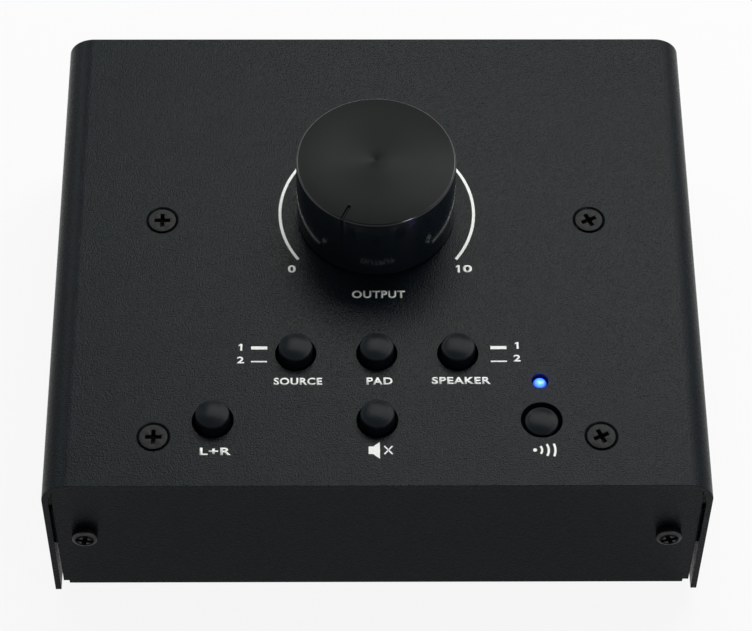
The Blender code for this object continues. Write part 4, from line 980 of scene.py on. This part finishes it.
def make_legends():
    for name, text, x, y, width, height in LEGENDS:
        if text == "1":
            bm = digit_one(0, width, height)
        elif text == "10":
            bm = digit_one(-width * 0.36, width * 0.24, height)
            bm.from_mesh(text_mesh("0", width * 0.56, height, width * 0.22))
        else:
            bm = bmesh.new()
            bm.from_mesh(text_mesh(text, width, height))
        raise_ink(bm)
        ink(name, bm, x, y)
    bm = bmesh.new()
    add_strip(bm, arc(0, 0, 0.0216, -36.4, 216.4, 120), 0.00065)
    raise_ink(bm)
    ink("legend_dial_arc", bm, 0.26, 10.5)
    for hand, x in (("source", -25.4), ("speaker", 26.33)):
        for level, y, stroke in (("one", -25.85, 0.8), ("two", -29.4, 0.32)):
            bm = bmesh.new()
            add_strip(bm, [(-0.00174, 0), (0.00174, 0)], stroke / 1000)
            raise_ink(bm)
            ink("legend_bar_%s_%s" % (hand, level), bm, x, y)
    bm = bmesh.new()
    speaker = ((-1.95, -0.95), (-1.95, 0.95), (-0.95, 0.95), (0.45, 2.1), (0.45, -2.1), (-0.95, -0.95))
    bm.faces.new([bm.verts.new((x / 1000, y / 1000, 0)) for x, y in speaker])
    raise_ink(bm)
    ink("legend_mute_speaker", bm, 0.05, -51.95)
    bm = bmesh.new()
    add_strip(bm, [(-0.00085, -0.001), (0.00085, 0.001)], 0.00032)
    raise_ink(bm)
    other = bmesh.new()
    add_strip(other, [(-0.00085, 0.001), (0.00085, -0.001)], 0.00032)
    raise_ink(other)
    ink("legend_mute_cross_a", bm, 2.3, -51.9)
    ink("legend_mute_cross_b", other, 2.3, -51.9)
    bm = bmesh.new()
    bm.faces.new([bm.verts.new((x, y, 0)) for x, y in arc(-0.0021, 0, 0.00042, 0, 345, 23)])
    for radius, half in ((0.0015, 38), (0.0029, 30), (0.0043, 21.5)):
        add_strip(bm, arc(-0.0021, 0, radius, -half, half, 16), 0.00048)
    raise_ink(bm)
    ink("legend_wireless", bm, 35.4, -51.95)


# Materials of the nodes that stay

def dress_nodes():
    dress = {
        "control_board": BOARD, "rear_board": BOARD, "wireless_module": SHIELD_TIN,
        "knob_set_screw": SCREW_STEEL, "pot_shaft": ZINC, "pot_body": ZINC, "pot_washer": ZINC,
        "pot_nut": ZINC, "ribbon_cable": RIBBON,
    }
    dress.update({"standoff_" + corner: STANDOFF_METAL for corner in CORNERS})
    for name in BUTTONS:
        dress[name + "_switch"] = HOUSING
        dress[name + "_plunger"] = SLIDER
    for name, material in dress.items():
        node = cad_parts[name]
        for slot in node.material_slots:
            slot.material = material


# Floor, light and camera

CEILING = 0.55
CEILING_FRONT = 0.15
WORLD_FILL = 0.15
# Share of light that the floor scatters, and its own glow
SEEN_FLOOR = (0.065, 0.9)
REFLECTED_FLOOR = (0.5, 0.35)


def make_floor():
    bm = bmesh.new()
    bmesh.ops.create_grid(bm, x_segments=1, y_segments=1, size=4.0)
    floor = piece("floor", bm, floor_material())


def floor_material():
    """White where the light falls, with the object's shadow kept."""
    material = bpy.data.materials.new("floor")
    material.use_nodes = True
    tree = material.node_tree
    tree.nodes.clear()
    add = tree.nodes.new
    output, diffuse = add("ShaderNodeOutputMaterial"), add("ShaderNodeBsdfDiffuse")
    diffuse.inputs["Color"].default_value = (0.75, 0.75, 0.75, 1.0)
    path = add("ShaderNodeLightPath")
    link = tree.links.new
    backdrops = []
    for shadow, strength in (SEEN_FLOOR, REFLECTED_FLOOR):
        shade, glow = add("ShaderNodeBsdfDiffuse"), add("ShaderNodeEmission")
        both = add("ShaderNodeAddShader")
        shade.inputs["Color"].default_value = (shadow, shadow, shadow, 1.0)
        glow.inputs["Strength"].default_value = strength
        link(shade.outputs[0], both.inputs[0])
        link(glow.outputs[0], both.inputs[1])
        backdrops.append(both.outputs[0])
    seen, mix = add("ShaderNodeMixShader"), add("ShaderNodeMixShader")
    link(path.outputs["Is Camera Ray"], seen.inputs["Fac"])
    link(backdrops[1], seen.inputs[1])
    link(backdrops[0], seen.inputs[2])
    link(background_rays(tree), mix.inputs["Fac"])
    link(diffuse.outputs[0], mix.inputs[1])
    link(seen.outputs[0], mix.inputs[2])
    link(mix.outputs[0], output.inputs["Surface"])
    return material


def background_rays(tree):
    """One for rays that the camera sees, straight or through a reflection."""
    path = tree.nodes.new("ShaderNodeLightPath")
    total = path.outputs["Is Camera Ray"]
    for other in ("Is Glossy Ray", "Is Transmission Ray"):
        highest = tree.nodes.new("ShaderNodeMath")
        highest.operation = "MAXIMUM"
        tree.links.new(total, highest.inputs[0])
        tree.links.new(path.outputs[other], highest.inputs[1])
        total = highest.outputs[0]
    return total


def make_world():
    """A white backdrop, which glossy surfaces see under a darker ceiling."""
    world = bpy.data.worlds.new("studio")
    bpy.context.scene.world = world
    world.use_nodes = True
    tree = world.node_tree
    link = tree.links.new
    background = tree.nodes["Background"]
    background.inputs["Color"].default_value = (0.955, 0.955, 0.955, 1.0)
    way = tree.nodes.new("ShaderNodeTexCoord")
    split = tree.nodes.new("ShaderNodeSeparateXYZ")
    link(way.outputs["Generated"], split.inputs["Vector"])
    overhead = tree.nodes.new("ShaderNodeMapRange")
    for socket, value in (("From Min", -0.5), ("From Max", 0.0), ("To Min", CEILING_FRONT),
                          ("To Max", CEILING)):
        overhead.inputs[socket].default_value = value
    link(split.outputs["Y"], overhead.inputs["Value"])
    ceiling = tree.nodes.new("ShaderNodeMapRange")
    for socket, value in (("From Min", 0.3), ("From Max", 0.6), ("To Min", 1.0)):
        ceiling.inputs[socket].default_value = value
    link(overhead.outputs["Result"], ceiling.inputs["To Max"])
    link(split.outputs["Z"], ceiling.inputs["Value"])
    path = tree.nodes.new("ShaderNodeLightPath")
    seen = tree.nodes.new("ShaderNodeMix")
    seen.inputs["B"].default_value = 1.0
    link(path.outputs["Is Camera Ray"], seen.inputs["Factor"])
    link(ceiling.outputs["Result"], seen.inputs["A"])
    strength = tree.nodes.new("ShaderNodeMix")
    strength.inputs["A"].default_value = WORLD_FILL
    link(background_rays(tree), strength.inputs["Factor"])
    link(seen.outputs["Result"], strength.inputs["B"])
    link(strength.outputs["Result"], background.inputs["Strength"])


def area_light(name, spot, target, size, power, colour=(1.0, 1.0, 1.0)):
    light = bpy.data.lights.new(name, "AREA")
    light.shape = "RECTANGLE"
    light.size, light.size_y = size
    light.energy = power
    light.color = colour
    obj = bpy.data.objects.new(name, light)
    bpy.context.scene.collection.objects.link(obj)
    obj.location = spot
    obj.rotation_euler = (Vector(spot) - Vector(target)).to_track_quat("Z", "Y").to_euler()


def make_lights():
    middle = (0, 0, 0.04)
    area_light("key", (0.13, 0.46, 0.74), middle, (0.66, 0.40), 6.0, (1.0, 1.0, 0.95))
    area_light("left", (-0.53, 0.51, 0.55), middle, (0.35, 0.50), 1.4)
    area_light("right", (0.53, 0.51, 0.55), middle, (0.35, 0.50), 1.9)
    area_light("front", (0.42, -0.48, 0.49), middle, (0.14, 0.05), 0.7)


def make_status_glow():
    """The lit lens's own light on the wall of its hole."""
    glow = bpy.data.lights.new("status_glow", "POINT")
    glow.energy = 0.0012
    glow.color = (0.04, 0.07, 1.0)
    glow.shadow_soft_size = 0.0006
    glow.specular_factor = 0.0
    lamp = bpy.data.objects.new("status_glow", glow)
    bpy.context.scene.collection.objects.link(lamp)
    lamp.location = (LIGHT.x, LIGHT.y, PLATE + 0.0004)


FOCAL = 2979.5
CAMERA = Vector((-0.0065, CASE_Y - 0.38559, COVER_LOW.z + 0.57835))
PITCH, YAW, ROLL = (math.radians(a) for a in (55.435, 0.996, 0.737))


def make_camera():
    data = bpy.data.cameras.new("camera")
    data.sensor_width = 36.0
    data.lens = FOCAL * data.sensor_width / 752
    data.clip_start, data.clip_end = 0.05, 20.0
    camera = bpy.data.objects.new("camera", data)
    bpy.context.scene.collection.objects.link(camera)
    forward = Vector((math.sin(YAW) * math.cos(PITCH), math.cos(YAW) * math.cos(PITCH),
                      -math.sin(PITCH)))
    flat = Vector((math.cos(YAW), -math.sin(YAW), 0))
    rise = flat.cross(forward)
    right = math.cos(ROLL) * flat + math.sin(ROLL) * rise
    up = -math.sin(ROLL) * flat + math.cos(ROLL) * rise
    turn = Matrix((right, up, -forward)).transposed().to_4x4()
    camera.matrix_world = Matrix.Translation(CAMERA) @ turn
    bpy.context.scene.camera = camera


make_camera()
make_cover()
make_chassis()
make_feet()
make_top_screws()
make_panel_screws()
make_knob()
make_caps()
make_light()
make_jacks()
make_phono()
make_dc_inlet()
make_legends()
dress_nodes()
make_floor()
make_world()
make_lights()
make_status_glow()
bpy.context.scene.view_settings.view_transform = "Standard"
